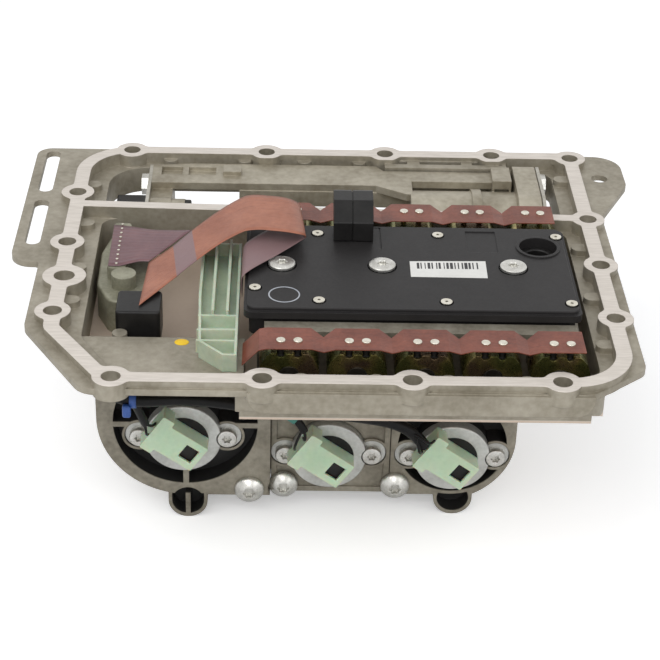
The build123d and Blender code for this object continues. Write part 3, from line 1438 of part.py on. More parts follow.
for side, outline, front_y, centre, pocket, screw in end_covers:
    wide_hub = hub_face(centre, 0, hub_margin)
    hub_seat = hub_face(centre, retainer_gap, retainer_gap)
    retainer_outline = hub_face(centre, 0, 0)
    with BuildPart() as end_cover:
        with BuildSketch(facing_front(front_y + cover_thickness)):
            add(outline)
        extrude(amount=cover_thickness)
        if pocket:
            with BuildSketch(facing_front(front_y)):
                with Locations(pocket[0]):
                    Circle(pocket[1])
                add(wide_hub, mode=Mode.SUBTRACT)
                if pocket[2]:
                    with Locations((pocket[0][0], pocket[2])):
                        Rectangle(3 * pocket[1], cover_web, mode=Mode.SUBTRACT)
                    with Locations(pocket[0]):
                        Rectangle(cover_web, 2 * pocket[1], align=(Align.CENTER, Align.MAX), mode=Mode.SUBTRACT)
            extrude(amount=-pocket_depth, mode=Mode.SUBTRACT)
        if side == "middle":
            with BuildSketch(facing_front(front_y)):
                add(panel_outline)
                add(wide_hub, mode=Mode.SUBTRACT)
            extrude(amount=-border_height, mode=Mode.SUBTRACT)
        if side == "left":
            with BuildSketch(facing_front(front_y)):
                add(left_hollow)
                add(left_foot_rib.sketch, mode=Mode.SUBTRACT)
            extrude(amount=-foot_depth, mode=Mode.SUBTRACT)
        if side == "right":
            with BuildSketch(facing_front(front_y)):
                add(right_hollow)
                with Locations(pocket[0]):
                    Circle(pocket[1] + foot_wall, mode=Mode.SUBTRACT)
            extrude(amount=-foot_depth, mode=Mode.SUBTRACT)
        with BuildSketch(facing_front(front_y)):
            add(hub_seat)
        extrude(amount=-hub_depth, mode=Mode.SUBTRACT)
        with BuildSketch(facing_front(front_y)):
            with Locations(centre):
                Circle(coil_radius + fit_gap)
            with Locations(*flange_screws):
                Circle(screw_radius + fit_gap)
        extrude(amount=-cover_thickness, mode=Mode.SUBTRACT)
        with BuildSketch(facing_front(front_y + hub_depth)):
            with Locations(*ear_spots(centre)):
                Circle(retainer_screw_radius + fit_gap)
        extrude(amount=-retainer_screw_grip - 1, mode=Mode.SUBTRACT)
        if front_y < cover_front_y:
            with BuildSketch(facing_front(front_y)):
                with Locations(flange_screws[1]):
                    Circle(flange_head_radius + retainer_gap)
            extrude(amount=front_y - cover_front_y, mode=Mode.SUBTRACT)
    finish(end_cover.part, f"{side}_end_cover")

    with BuildPart() as retainer:
        with BuildSketch(facing_front(front_y + hub_depth)):
            add(retainer_outline)
        extrude(amount=ear_thickness)
        with BuildSketch(facing_front(front_y + hub_depth - ear_thickness)):
            with Locations(centre):
                Circle(retainer_radius)
        extrude(amount=collar_height - ear_thickness)
        fillet(retainer.faces().sort_by(Axis.Y)[0].edges(), 1.0)
        with BuildSketch(facing_front(front_y + hub_depth - ear_thickness)):
            with Locations(*ear_spots(centre)):
                Circle(retainer_head_radius + retainer_gap)
        extrude(amount=collar_height, mode=Mode.SUBTRACT)
        with BuildSketch(facing_front(front_y + hub_depth)):
            with Locations(centre):
                Circle(coil_radius + fit_gap)
            with Locations(*ear_spots(centre)):
                Circle(retainer_screw_radius + fit_gap)
        extrude(amount=collar_height, mode=Mode.SUBTRACT)
    finish(retainer.part, f"{side}_retainer")

    with BuildPart() as coil_head:
        with BuildSketch(facing_front(front_y + hub_depth - collar_height)):
            with Locations(centre):
                Circle(coil_radius)
        extrude(amount=-cover_thickness - gasket - coil_length)
        with BuildSketch(plug_plane(centre, front_y + hub_depth - collar_height)):
            Rectangle(plug_length - 2 * plug_wall - 2, plug_width - 2 * plug_wall - 2 * fit_gap)
        extrude(amount=plug_standoff + plug_depth - plug_wall - 1)
    finish(coil_head.part, f"{side}_coil_head")

    with BuildPart() as plug:
        with BuildSketch(plug_plane(centre, front_y + hub_depth - collar_height - plug_standoff)):
            Rectangle(plug_length, plug_width)
            with Locations((-plug_length / 2, 0)):
                Rectangle(plug_wing_length, plug_wing_width, align=(Align.MIN, Align.CENTER))
        extrude(amount=plug_depth)
        fillet(plug.edges().filter_by(Axis.Y), 1.0)
        with BuildSketch(plug_plane(centre, front_y + hub_depth - collar_height - plug_standoff)):
            Rectangle(plug_length - 2 * plug_wall, plug_width - 2 * plug_wall)
        extrude(amount=plug_depth - plug_wall, mode=Mode.SUBTRACT)
        with BuildSketch(plug_plane(centre, front_y + hub_depth - collar_height - plug_standoff)):
            with Locations((plug_window_x, 0)):
                Rectangle(plug_window_length, plug_window_width)
        extrude(amount=2 * plug_depth, mode=Mode.SUBTRACT)
    finish(plug.part, f"{side}_plug")

with BuildPart() as end_cover_gaskets:
    for side, outline, front_y, centre, pocket, screw in end_covers:
        with BuildSketch(facing_front(front_y + cover_thickness)):
            add(outline)
            with Locations(centre):
                Circle(coil_radius + fit_gap, mode=Mode.SUBTRACT)
            with Locations(*flange_screws):
                Circle(screw_radius + fit_gap, mode=Mode.SUBTRACT)
        extrude(amount=-gasket)
finish(end_cover_gaskets.part, "end_cover_gaskets")

with BuildPart() as flanged_screws:
    for side, outline, front_y, centre, pocket, screw in end_covers:
        with BuildSketch(facing_front(front_y)):
            with Locations(screw):
                Circle(flange_head_radius)
        extrude(amount=flange_head_height, taper=18)
        with BuildSketch(facing_front(front_y)):
            with Locations(screw):
                Circle(screw_radius)
        extrude(amount=-cover_thickness - gasket - screw_grip)
        with BuildSketch(facing_front(front_y - flange_head_height)):
            with Locations(screw):
                RegularPolygon(torx_radius, 6)
        extrude(amount=-0.7 * flange_head_height, mode=Mode.SUBTRACT)
finish(flanged_screws.part, "flanged_screws")

with BuildPart() as retainer_screws:
    for side, outline, front_y, centre, pocket, screw in end_covers:
        seat_y = front_y + hub_depth - ear_thickness
        with BuildSketch(facing_front(seat_y)):
            with Locations(*ear_spots(centre)):
                Circle(retainer_head_radius)
        extrude(amount=retainer_head_height)
        fillet(retainer_screws.edges(Select.LAST).group_by(Axis.Y)[0], head_edge)
        with BuildSketch(facing_front(seat_y)):
            with Locations(*ear_spots(centre)):
                Circle(retainer_screw_radius)
        extrude(amount=-retainer_screw_grip)
        with BuildSketch(facing_front(seat_y - retainer_head_height)):
            with Locations(*ear_spots(centre)):
                RegularPolygon(0.8 * torx_radius, 6)
        extrude(amount=-0.6 * retainer_head_height, mode=Mode.SUBTRACT)
finish(retainer_screws.part, "retainer_screws")


# Wiring harness under the front wall: one taped loom and two short branches
def tube(points, diameter):
    """Round tube along straight runs joined by arcs as large as the runs allow."""
    corners = [Vector(*point) for point in points]
    radii = []
    for before, corner, after in zip(corners, corners[1:], corners[2:]):
        turn = radians((corner - before).get_angle(after - corner))
        shorter = min((corner - before).length, (after - corner).length)
        radii.append(0.45 * shorter / tan(turn / 2))
    print("smallest bend radius", round(min(radii), 1))
    with BuildPart() as pipe:
        with BuildLine() as route:
            FilletPolyline(*corners, radius=radii)
        with BuildSketch(Plane(origin=corners[0], z_dir=corners[1] - corners[0])):
            Circle(diameter / 2)
        sweep(path=route.line)
    return pipe.part


loom = tube([(x, y, level(rise)) for x, y, rise in loom_points], loom_diameter)
wires = [tube([(x, y, level(rise)) for x, y, rise in points], wire_diameter) for points in branch_wires]
with BuildPart() as wiring_harness:
    add(loom)
    add(wires)
finish(wiring_harness.part, "wiring_harness")
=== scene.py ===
"""Looks of a gearbox control module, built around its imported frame.

The cast pan with its machined flange, the control unit on the valve block, the flat circuits, the shift
actuator and the cylinder block keep their solids and get their finishes here. Folded circuits, wiring,
screw heads, the label and small trim are modelled here and ride on the housing.
"""
import logging
import math
from dataclasses import dataclass
from enum import Enum
from itertools import accumulate, pairwise

import bmesh
import bpy
from mathutils import Matrix, Vector


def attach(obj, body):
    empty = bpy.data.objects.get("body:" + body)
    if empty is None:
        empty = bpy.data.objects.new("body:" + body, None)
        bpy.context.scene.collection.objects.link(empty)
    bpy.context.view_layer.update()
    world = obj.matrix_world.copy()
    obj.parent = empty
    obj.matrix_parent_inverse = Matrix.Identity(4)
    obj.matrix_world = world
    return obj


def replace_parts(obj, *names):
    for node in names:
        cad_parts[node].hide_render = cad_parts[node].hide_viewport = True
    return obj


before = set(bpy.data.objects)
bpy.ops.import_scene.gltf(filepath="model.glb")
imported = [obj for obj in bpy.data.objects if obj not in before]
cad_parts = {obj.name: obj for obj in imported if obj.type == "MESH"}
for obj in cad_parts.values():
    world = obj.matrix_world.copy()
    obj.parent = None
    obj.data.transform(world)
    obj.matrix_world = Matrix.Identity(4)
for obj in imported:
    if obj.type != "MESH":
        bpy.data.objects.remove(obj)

logging.basicConfig(level=logging.INFO, format="%(message)s")
log = logging.getLogger("module")

MM = 0.001
FACE = 148.0
HOUSING = "housing"
Rgb = tuple[int, int, int]
Tint = tuple[float, float, float, float]
Spot = tuple[float, float]
Point = tuple[float, float, float]
Value = bpy.types.NodeSocket | float
WHITE: Tint = (1.0, 1.0, 1.0, 1.0)
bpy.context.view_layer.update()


def linear(colour: Rgb) -> Tint:
    """Turns a colour as seen on a screen, 0 to 255, into a linear one with full alpha."""
    shares = [value / 255 for value in colour]
    parts = [s / 12.92 if s <= 0.04045 else ((s + 0.055) / 1.055) ** 2.4 for s in shares]
    return (parts[0], parts[1], parts[2], 1.0)


def at(x: float, y: float, rise: float) -> Vector:
    """Place in metres of a point given in mm, its height taken from the sealing face."""
    return Vector((x, y, FACE + rise)) * MM


def new_object(name: str, data: bpy.types.ID) -> bpy.types.Object:
    """Adds an object with its data to the scene."""
    made = bpy.data.objects.new(name, data)
    bpy.context.scene.collection.objects.link(made)
    return made


class Wires:
    """Adds nodes to one node tree and joins them."""

    def __init__(self, tree: bpy.types.NodeTree) -> None:
        """Keeps the tree that the nodes go into."""
        self.tree = tree

    def feed(self, socket: bpy.types.NodeSocket, value: object) -> None:
        """Joins a socket to another one, or sets its plain value."""
        if isinstance(value, bpy.types.NodeSocket):
            self.tree.links.new(value, socket)
        else:
            socket.default_value = value

    def add(self, kind: str, inputs: dict | None = None, **settings: object) -> bpy.types.Node:
        """Adds one node.

        Args:
            kind: The node's type name.
            inputs: Sockets or plain values by the input's name or number.
            settings: Properties of the node itself.

        Returns:
            The new node.
        """
        node = self.tree.nodes.new(kind)
        for name, value in settings.items():
            setattr(node, name, value)
        for key, value in (inputs or {}).items():
            self.feed(node.inputs[key], value)
        return node

    def math(self, operation: str, *numbers: Value) -> bpy.types.NodeSocket:
        """Adds one sum and returns its result."""
        return self.add("ShaderNodeMath", dict(enumerate(numbers)), operation=operation).outputs[0]

    def ramp(
        self, value: Value, low: Value, high: Value, start: float = 0.0, end: float = 1.0
    ) -> bpy.types.NodeSocket:
        """Maps a value from low..high to start..end, held at both ends."""
        numbers = {"Value": value, "From Min": low, "From Max": high, "To Min": start, "To Max": end}
        return self.add("ShaderNodeMapRange", numbers, clamp=True).outputs["Result"]

    def blend(self, share: Value, first: object, second: object) -> bpy.types.NodeSocket:
        """Mixes two colours by a share."""
        return self.add("ShaderNodeMix", {0: share, 6: first, 7: second}, data_type="RGBA").outputs[2]

    def noise(self, place: Value, scale: Value, **more: float) -> bpy.types.NodeSocket:
        """Adds a cloud texture and returns its value."""
        return self.add("ShaderNodeTexNoise", {"Vector": place, "Scale": scale, **more}).outputs[0]

    def stretched(self, place: Value, scale: Point, detail: float) -> bpy.types.NodeSocket:
        """Adds a cloud texture drawn out along some axes and returns its value."""
        drawn = self.add("ShaderNodeMapping", {"Vector": place, "Scale": scale})
        return self.noise(drawn.outputs[0], 1.0, Detail=detail)


def blank_material(name: str) -> tuple[bpy.types.Material, Wires]:
    """Makes an empty node material and what fills it."""
    material = bpy.data.materials.new(name)
    material.use_nodes = True
    material.node_tree.nodes.clear()
    return material, Wires(material.node_tree)


class Effect(Enum):
    """Shader effects that several finishes share."""

    DRIFT = "tone_drift"
    GRAIN = "cast_grain"
    LINES = "conductor_lines"


class EffectLibrary:
    """Node groups, each built once and placed in every material that needs it."""

    SPOT_FINENESS = 7.3
    SPOT_SHARE = 0.35
    CONTRAST_GAIN = 3.0
    COARSE_SHARE = 0.22
    RUN_SCALE: Point = (25.0, 900.0, 25.0)
    DARK_RUNS: Spot = (0.58, 0.68)

    def __init__(self) -> None:
        """Builds the groups."""
        self.groups: dict[Effect, bpy.types.NodeTree] = {}
        self._drift()
        self._grain()
        self._lines()

    def _start(
        self, effect: Effect, numbers: dict[str, float], outputs: tuple[str, ...]
    ) -> tuple[Wires, bpy.types.Node]:
        """Opens a group with a place vector and named numbers as inputs."""
        tree = bpy.data.node_groups.new(effect.value, "ShaderNodeTree")
        tree.interface.new_socket("Vector", in_out="INPUT", socket_type="NodeSocketVector")
        for name, value in numbers.items():
            socket = tree.interface.new_socket(name, in_out="INPUT", socket_type="NodeSocketFloat")
            socket.default_value = value
        for name in outputs:
            tree.interface.new_socket(name, in_out="OUTPUT", socket_type="NodeSocketFloat")
        self.groups[effect] = tree
        wires = Wires(tree)
        return wires, wires.add("NodeGroupInput")

    def _drift(self) -> None:
        """Slow patches of tone with a few small spots, as a mask from 0 to 1."""
        wires, given = self._start(Effect.DRIFT, {"Scale": 30.0, "Contrast": 1.0}, ("Mask",))
        place, scale = given.outputs[0], given.outputs["Scale"]
        broad = wires.noise(place, scale, Detail=4.0)
        spots = wires.noise(place, wires.math("MULTIPLY", scale, self.SPOT_FINENESS), Detail=3.0)
        rest = wires.math("MULTIPLY", broad, 1.0 - self.SPOT_SHARE)
        mixed = wires.math("MULTIPLY_ADD", spots, self.SPOT_SHARE, rest)
        centred = wires.math("SUBTRACT", mixed, 0.5)
        gain = wires.math("MULTIPLY", given.outputs["Contrast"], self.CONTRAST_GAIN)
        spread = wires.math("MULTIPLY", centred, gain)
        result = wires.ramp(wires.math("ADD", spread, 0.5), 0.0, 1.0)
        wires.add("NodeGroupOutput", {"Mask": result})

    def _grain(self) -> None:
        """Fine sandy surface of a casting or moulding, as a height in metres and as a mask."""
        wires, given = self._start(Effect.GRAIN, {"Scale": 900.0, "Depth": 0.00002}, ("Height", "Mask"))
        place, scale = given.outputs[0], given.outputs["Scale"]
        fine = wires.noise(place, scale, Detail=5.0, Roughness=0.65)
        coarse = wires.noise(place, wires.math("MULTIPLY", scale, self.COARSE_SHARE), Detail=2.0)
        mask = wires.math("MULTIPLY_ADD", coarse, 0.5, wires.math("MULTIPLY", fine, 0.5))
        height = wires.math("MULTIPLY", mask, given.outputs["Depth"])
        wires.add("NodeGroupOutput", {"Height": height, "Mask": mask})

    def _lines(self) -> None:
        """Conductors under the film: fine lines across the second coordinate, some of them darker."""
        wires, given = self._start(Effect.LINES, {"Pitch": 0.0016, "Share": 0.35}, ("Line", "Dark"))
        parts = wires.add("ShaderNodeSeparateXYZ", {0: given.outputs[0]})
        counted = wires.math("DIVIDE", parts.outputs["Y"], given.outputs["Pitch"])
        wave = wires.math("ABSOLUTE", wires.math("SUBTRACT", wires.math("FRACT", counted), 0.5))
        half = wires.math("MULTIPLY", given.outputs["Share"], 0.5)
        line = wires.ramp(wave, wires.math("SUBTRACT", 0.5, half), 0.5)
        runs = wires.stretched(given.outputs[0], self.RUN_SCALE, 1.0)
        dark = wires.ramp(runs, *self.DARK_RUNS)
        wires.add("NodeGroupOutput", {"Line": line, "Dark": dark})


@dataclass
class Surface:
    """What a finish works out before its shader: the place, the colour, the shine and the height."""

    place: bpy.types.NodeSocket
    colour: bpy.types.NodeSocket
    rough: Value
    metal: Value
    height: Value


@dataclass(frozen=True)
class Finish:
    """One plain surface finish: two tones, shine and grain."""

    name: str
    light: Rgb
    dark: Rgb
    roughness: float = 0.5
    metallic: float = 0.0
    patch_mm: float = 30.0
    contrast: float = 1.0
    grain_mm: float = 0.8
    grain_depth_mm: float = 0.03
    edge_mm: float = 0.5
    coat: float = 0.0
    gloss: float = 0.5
    soft: float = 0.0
    soft_mm: float = 5.0
    rough_spread: float = 0.07
    grain_range: Spot = (0.3, 0.7)

    def build(self, library: EffectLibrary) -> bpy.types.Material:
        """Makes the material.

        Args:
            library: The shared effects.

        Returns:
            The finished node material.
        """
        material, wires = blank_material(self.name)
        place = wires.add("ShaderNodeTexCoord").outputs["Object"]
        drift = wires.add(
            "ShaderNodeGroup",
            {"Vector": place, "Scale": 1.0 / (self.patch_mm * MM), "Contrast": self.contrast},
            node_tree=library.groups[Effect.DRIFT],
        )
        grain = wires.add(
            "ShaderNodeGroup",
            {"Vector": place, "Scale": 1.0 / (self.grain_mm * MM), "Depth": self.grain_depth_mm * MM},
            node_tree=library.groups[Effect.GRAIN],
        )
        smoothest, roughest = self.roughness - self.rough_spread, self.roughness + self.rough_spread
        surface = Surface(
            place, wires.blend(drift.outputs["Mask"], linear(self.dark), linear(self.light)),
            wires.ramp(grain.outputs["Mask"], *self.grain_range, smoothest, roughest),
            self.metallic, grain.outputs["Height"],
        )
        self.dress(wires, surface)
        rounded = wires.add("ShaderNodeBevel", {"Radius": self.edge_mm * MM}, samples=4).outputs["Normal"]
        bump = wires.add(
            "ShaderNodeBump", {"Height": surface.height, "Distance": 1.0, "Strength": 1.0, "Normal": rounded}
        )
        shader = wires.add("ShaderNodeBsdfPrincipled", {
            "Base Color": surface.colour, "Roughness": surface.rough, "Metallic": surface.metal,
            "Normal": bump.outputs["Normal"], "Coat Weight": self.coat, "Specular IOR Level": self.gloss,
            "Subsurface Weight": self.soft, "Subsurface Scale": self.soft_mm * MM,
        })
        wires.add("ShaderNodeOutputMaterial", {"Surface": shader.outputs[0]})
        return material

    def dress(self, wires: Wires, surface: Surface) -> None:
        """Lets a special finish change the surface; a plain one leaves it."""


@dataclass(frozen=True)
class FlangeFinish(Finish):
    """Casting whose flat top at the sealing face is machined bright, and whose deep floor gets painted light:
    a lighter, warmer colour standing in for light reaching the pan's floor.
    """

    machined: Rgb = (222, 214, 205)
    shade: Rgb = (205, 197, 187)
    machined_rough: float = 0.42
    machined_flat: float = 0.85
    level_mm: float = FACE
    level_band: Spot = (-0.25, -0.15)
    streak_scale: Point = (90.0, 700.0, 90.0)
    streak_range: Spot = (0.3, 0.7)
    # Painted light: the pan's floor and all below it are blended towards a lighter, warmer tone, standing in
    # for light that reaches the pit.
    floor_mm: float = FACE - 34.0
    floor_band: Spot = (0.3, 0.8)
    floor_light_tone: Rgb = (228, 208, 190)
    floor_light_share: float = 0.75

    def dress(self, wires: Wires, surface: Surface) -> None:
        """Adds the milled face: bright, flatter and streaked along the cutter's path; paints light on the
        pan's floor as a lighter, warmer colour.
        """
        height = wires.add("ShaderNodeSeparateXYZ", {0: surface.place}).outputs["Z"]
        milled = wires.ramp(height, *((self.level_mm + step) * MM for step in self.level_band))
        streaks = wires.stretched(surface.place, self.streak_scale, 3.0)
        share = wires.ramp(streaks, *self.streak_range)
        bright = wires.blend(share, linear(self.shade), linear(self.machined))
        colour = wires.blend(milled, surface.colour, bright)
        # Painted light: the floor of the pan is lightened towards the warm floor light tone.
        deep = wires.ramp(height, *((self.floor_mm + step) * MM for step in self.floor_band), 1.0, 0.0)
        lit_floor = wires.blend(deep, WHITE, linear(self.floor_light_tone))
        surface.colour = wires.blend(wires.math("MULTIPLY", deep, self.floor_light_share), colour, lit_floor)
        rough = {0: milled, 2: surface.rough, 3: self.machined_rough}
        surface.rough = wires.add("ShaderNodeMix", rough).outputs[0]
        kept = wires.math("SUBTRACT", 1.0, wires.math("MULTIPLY", milled, self.machined_flat))
        surface.height = wires.math("MULTIPLY", surface.height, kept)


@dataclass(frozen=True)
class PocketFinish(Finish):
    """Casting with a black recess behind its front face."""

    front_mm: float = -70.0
    front_band: Spot = (0.6, 1.0)
    centre: Spot = (-88.0, 68.5)
    radius_mm: float = 43.7
    edge_blend: float = 0.1
    foot_x: float = -87.0
    foot_half: float = 10.0
    foot_top: float = 17.7
    black: Rgb = (34, 33, 32)

    def dress(self, wires: Wires, surface: Surface) -> None:
        """Blackens what lies behind the front face inside the recess and the hollow of the foot."""
        parts = wires.add("ShaderNodeSeparateXYZ", {0: surface.place}).outputs
        behind = wires.ramp(parts["Y"], *((self.front_mm + step) * MM for step in self.front_band))
        across, up = (
            wires.math("POWER", wires.math("SUBTRACT", parts[axis], middle * MM), 2.0)
            for axis, middle in zip("XZ", self.centre)
        )
        reach = wires.math("SQRT", wires.math("ADD", across, up))
        low, high = (self.radius_mm - self.edge_blend) * MM, (self.radius_mm + self.edge_blend) * MM
        inside = wires.ramp(reach, low, high, 1.0, 0.0)
        beside = wires.math("ABSOLUTE", wires.math("SUBTRACT", parts["X"], self.foot_x * MM))
        in_foot = wires.math("LESS_THAN", beside, self.foot_half * MM)
        under = wires.math("LESS_THAN", parts["Z"], self.foot_top * MM)
        inside = wires.math("MAXIMUM", inside, wires.math("MULTIPLY", in_foot, under))
        mask = wires.math("MULTIPLY", behind, inside)
        surface.colour = wires.blend(mask, surface.colour, linear(self.black))
        surface.metal = wires.math("MULTIPLY", wires.math("SUBTRACT", 1.0, mask), self.metallic)


@dataclass(frozen=True)
class FilmFinish(Finish):
    """Flat flexible circuit: amber film over copper conductors."""

    line: Rgb = (120, 62, 48)
    deep: Rgb = (70, 34, 30)
    deep_share: float = 0.9
    pitch_mm: float = 1.7
    share: float = 0.4
    strength: float = 0.45
    line_rise_mm: float = 0.03
    from_uv: bool = False
    # Painted shade: greyer mauve tone for spans of the film, how strongly it is mixed in, and the spans along
    # the film in mm.
    film_shade: Rgb = (133, 113, 117)
    film_shade_share: float = 0.85
    shaded_spans: tuple[Spot, ...] = ()

    def dress(self, wires: Wires, surface: Surface) -> None:
        """Adds conductor lines, and painted shade on spans of the film: a greyer mauve on the facet between
        the first creases and on the lower ply under the upper run.
        """
        where = wires.add("ShaderNodeTexCoord").outputs["UV"] if self.from_uv else surface.place
        lines = wires.add(
            "ShaderNodeGroup", {"Vector": where, "Pitch": self.pitch_mm * MM, "Share": self.share},
            node_tree=bpy.data.node_groups[Effect.LINES.value],
        ).outputs
        thin = wires.math("MULTIPLY", lines["Line"], self.strength)
        colour = wires.blend(thin, surface.colour, linear(self.line))
        both = wires.math("MULTIPLY", lines["Dark"], lines["Line"])
        dark = wires.math("MULTIPLY", both, self.deep_share)
        surface.colour = wires.blend(dark, colour, linear(self.deep))
        # Painted shade: along these spans the film turns greyer mauve, standing in for the darker crease
        # facet and the lower ply lying in shade.
        for start, end in self.shaded_spans:
            along = wires.add("ShaderNodeSeparateXYZ", {0: where}).outputs["X"]
            on = wires.math("GREATER_THAN", along, start * MM)
            off = wires.math("LESS_THAN", along, end * MM)
            share = wires.math("MULTIPLY", wires.math("MULTIPLY", on, off), self.film_shade_share)
            surface.colour = wires.blend(share, surface.colour, linear(self.film_shade))
        surface.height = wires.math("MULTIPLY_ADD", lines["Line"], self.line_rise_mm * MM, surface.height)


@dataclass(frozen=True)
class ChromateFinish(Finish):
    """Yellow chromate on steel: the tone wanders from gold through olive to violet."""

    cloud_scale: float = 62.0
    olive: Rgb = (96, 104, 58)
    olive_range: Spot = (0.42, 0.58)
    olive_share: float = 0.8
    violet: Rgb = (112, 84, 88)
    violet_range: Spot = (0.36, 0.46)
    violet_share: float = 0.6

    def dress(self, wires: Wires, surface: Surface) -> None:
        """Lays olive and violet clouds over the gold tone."""
        clouds = wires.noise(surface.place, self.cloud_scale, Detail=1.5)
        olive = wires.math("MULTIPLY", wires.ramp(clouds, *self.olive_range), self.olive_share)
        colour = wires.blend(olive, surface.colour, linear(self.olive))
        violet = wires.math("MULTIPLY", wires.ramp(clouds, *self.violet_range, 1.0, 0.0), self.violet_share)
        surface.colour = wires.blend(violet, colour, linear(self.violet))


CASTING = FlangeFinish(
    "cast_flange", (174, 167, 152), (134, 127, 111), roughness=0.5, metallic=0.45, patch_mm=26.0,
    contrast=0.9, grain_mm=0.9, grain_depth_mm=0.05, edge_mm=0.7,
)
COVER_LEFT = PocketFinish(
    "cast_cover_left", (156, 150, 136), (110, 104, 91), roughness=0.5, metallic=0.45, patch_mm=22.0,
    grain_mm=0.8, grain_depth_mm=0.05, edge_mm=0.7,
)
COVER_RIGHT = PocketFinish(
    "cast_cover_right", (156, 150, 136), (110, 104, 91), roughness=0.5, metallic=0.45, patch_mm=22.0,
    grain_mm=0.8, grain_depth_mm=0.05, edge_mm=0.7, front_mm=-64.0, centre=(74.3, 50.5), radius_mm=33.5,
    foot_x=76.5, foot_top=17.0,
)
PLAIN_CASTING = Finish(
    "cast_plain", (156, 150, 136), (110, 104, 91), roughness=0.5, metallic=0.45, patch_mm=22.0,
    grain_mm=0.8, grain_depth_mm=0.05, edge_mm=0.7,
)
ACTUATOR_CASTING = Finish(
    "cast_actuator", (184, 177, 160), (138, 130, 113), roughness=0.42, metallic=0.5, patch_mm=30.0,
    grain_mm=0.8, grain_depth_mm=0.03, edge_mm=0.6,
)
BRIGHT_CASTING = Finish(
    "cast_bright", (208, 209, 205), (172, 172, 168), roughness=0.4, metallic=0.55, patch_mm=14.0,
    grain_mm=0.7, grain_depth_mm=0.02, edge_mm=0.5,
)
SOCKET_GREY = Finish(
    "socket_grey", (158, 156, 136), (118, 116, 98), roughness=0.5, metallic=0.25, patch_mm=14.0,
    grain_mm=0.6, grain_depth_mm=0.02, edge_mm=0.8,
)
BLACK_LID = Finish(
    "lid_black", (46, 44, 44), (34, 33, 33), roughness=0.42, patch_mm=40.0, contrast=0.6, grain_mm=0.35,
    grain_depth_mm=0.012, edge_mm=0.5, gloss=0.2,
)
BLACK_PLUG = Finish(
    "plug_black", (34, 33, 32), (22, 21, 21), roughness=0.38, patch_mm=12.0, grain_mm=0.4,
    grain_depth_mm=0.012, edge_mm=0.4, gloss=0.25,
)
COIL_BLACK = Finish(
    "coil_black", (36, 34, 33), (22, 21, 21), roughness=0.5, patch_mm=12.0, grain_mm=0.5, grain_depth_mm=0.02,
    gloss=0.3,
)
PALE_GREEN = Finish(
    "moulding_green", (200, 218, 190), (178, 202, 172), roughness=0.42, patch_mm=18.0, contrast=0.8,
    grain_mm=0.6, grain_depth_mm=0.012, edge_mm=0.5, coat=0.15, soft=0.6,
)
BRACKET_GREEN = Finish(
    "bracket_green", (202, 212, 190), (170, 186, 162), roughness=0.45, patch_mm=22.0, contrast=0.8,
    grain_mm=0.6, grain_depth_mm=0.012, edge_mm=0.5, soft=0.4,
)
ZINC = Finish(
    "zinc_bright", (222, 221, 216), (182, 180, 174), roughness=0.3, metallic=0.85, patch_mm=5.0, grain_mm=0.4,
    grain_depth_mm=0.008, edge_mm=0.25,
)
CHROMATE = ChromateFinish(
    "chromate_gold", (182, 166, 104), (116, 106, 62), roughness=0.28, metallic=0.9, patch_mm=9.0,
    grain_mm=0.5, grain_depth_mm=0.008, edge_mm=0.45,
)
DARK_STEEL = Finish(
    "steel_dark", (92, 88, 80), (62, 58, 52), roughness=0.4, metallic=0.9, patch_mm=6.0, grain_mm=0.5,
    grain_depth_mm=0.01, edge_mm=0.3,
)
STEEL_PLATE = Finish(
    "steel_plate", (190, 186, 176), (150, 146, 134), roughness=0.34, metallic=0.8, patch_mm=14.0,
    grain_mm=0.6, grain_depth_mm=0.01, edge_mm=0.4,
)
RIBBON = FilmFinish(
    "film_ribbon", (138, 78, 60), (100, 50, 37), roughness=0.36, patch_mm=16.0, grain_mm=1.2,
    grain_depth_mm=0.01, edge_mm=0.1, coat=0.1, gloss=0.3,
)
LOOP_FILM = FilmFinish(
    "film_loop", (176, 116, 92), (146, 90, 70), roughness=0.4, patch_mm=26.0, grain_mm=1.5,
    grain_depth_mm=0.01, edge_mm=0.05, gloss=0.35, from_uv=True, strength=0.26, share=0.3,
    # Painted shade spans along the film, in mm: the facet between the first two creases, and the lower ply.
    shaded_spans=((27.5, 45.5), (124.0, 225.0)),
)
BRANCH_FILM = FilmFinish(
    "film_branch", (122, 86, 88), (98, 68, 72), roughness=0.4, patch_mm=18.0, grain_mm=1.5,
    grain_depth_mm=0.01, edge_mm=0.05, from_uv=True, pitch_mm=4.6, share=0.8, strength=0.5,
    line=(118, 92, 100), deep=(104, 50, 52),
)
RUBBER = Finish(
    "rubber_black", (20, 19, 19), (11, 11, 11), roughness=0.36, patch_mm=8.0, grain_mm=0.7,
    grain_depth_mm=0.03, edge_mm=0.1, gloss=0.2,
)
BOARD = Finish("board_green", (48, 98, 62), (34, 78, 48), roughness=0.45, patch_mm=12.0, edge_mm=0.1)
TIN = Finish(
    "tin_bright", (232, 228, 216), (196, 190, 174), roughness=0.25, metallic=0.8, patch_mm=3.0, grain_mm=0.4,
    grain_depth_mm=0.006, edge_mm=0.2,
)
BLUE_TIE = Finish("tie_blue", (58, 96, 168), (40, 74, 140), roughness=0.4, patch_mm=6.0, edge_mm=0.1)
TEAL_SLEEVE = Finish("sleeve_teal", (64, 132, 118), (40, 100, 92), roughness=0.45, patch_mm=6.0, edge_mm=0.1)
LABEL_WHITE = Finish(
    "label_white", (232, 231, 226), (218, 217, 212), roughness=0.45, patch_mm=20.0, edge_mm=0.05,
)
LABEL_INK = Finish("label_ink", (40, 40, 42), (28, 28, 30), roughness=0.5, patch_mm=10.0, edge_mm=0.05)
PRINT_GREY = Finish(
    "print_grey", (186, 190, 196), (160, 164, 172), roughness=0.5, patch_mm=10.0, edge_mm=0.05,
)
GAP_BLACK = Finish(
    "gap_black", (10, 10, 10), (6, 6, 6), roughness=0.8, patch_mm=10.0, edge_mm=0.05, gloss=0.05,
)
YELLOW_MARK = Finish("paint_yellow", (250, 214, 20), (240, 182, 8), roughness=0.4, patch_mm=3.0, edge_mm=0.2)

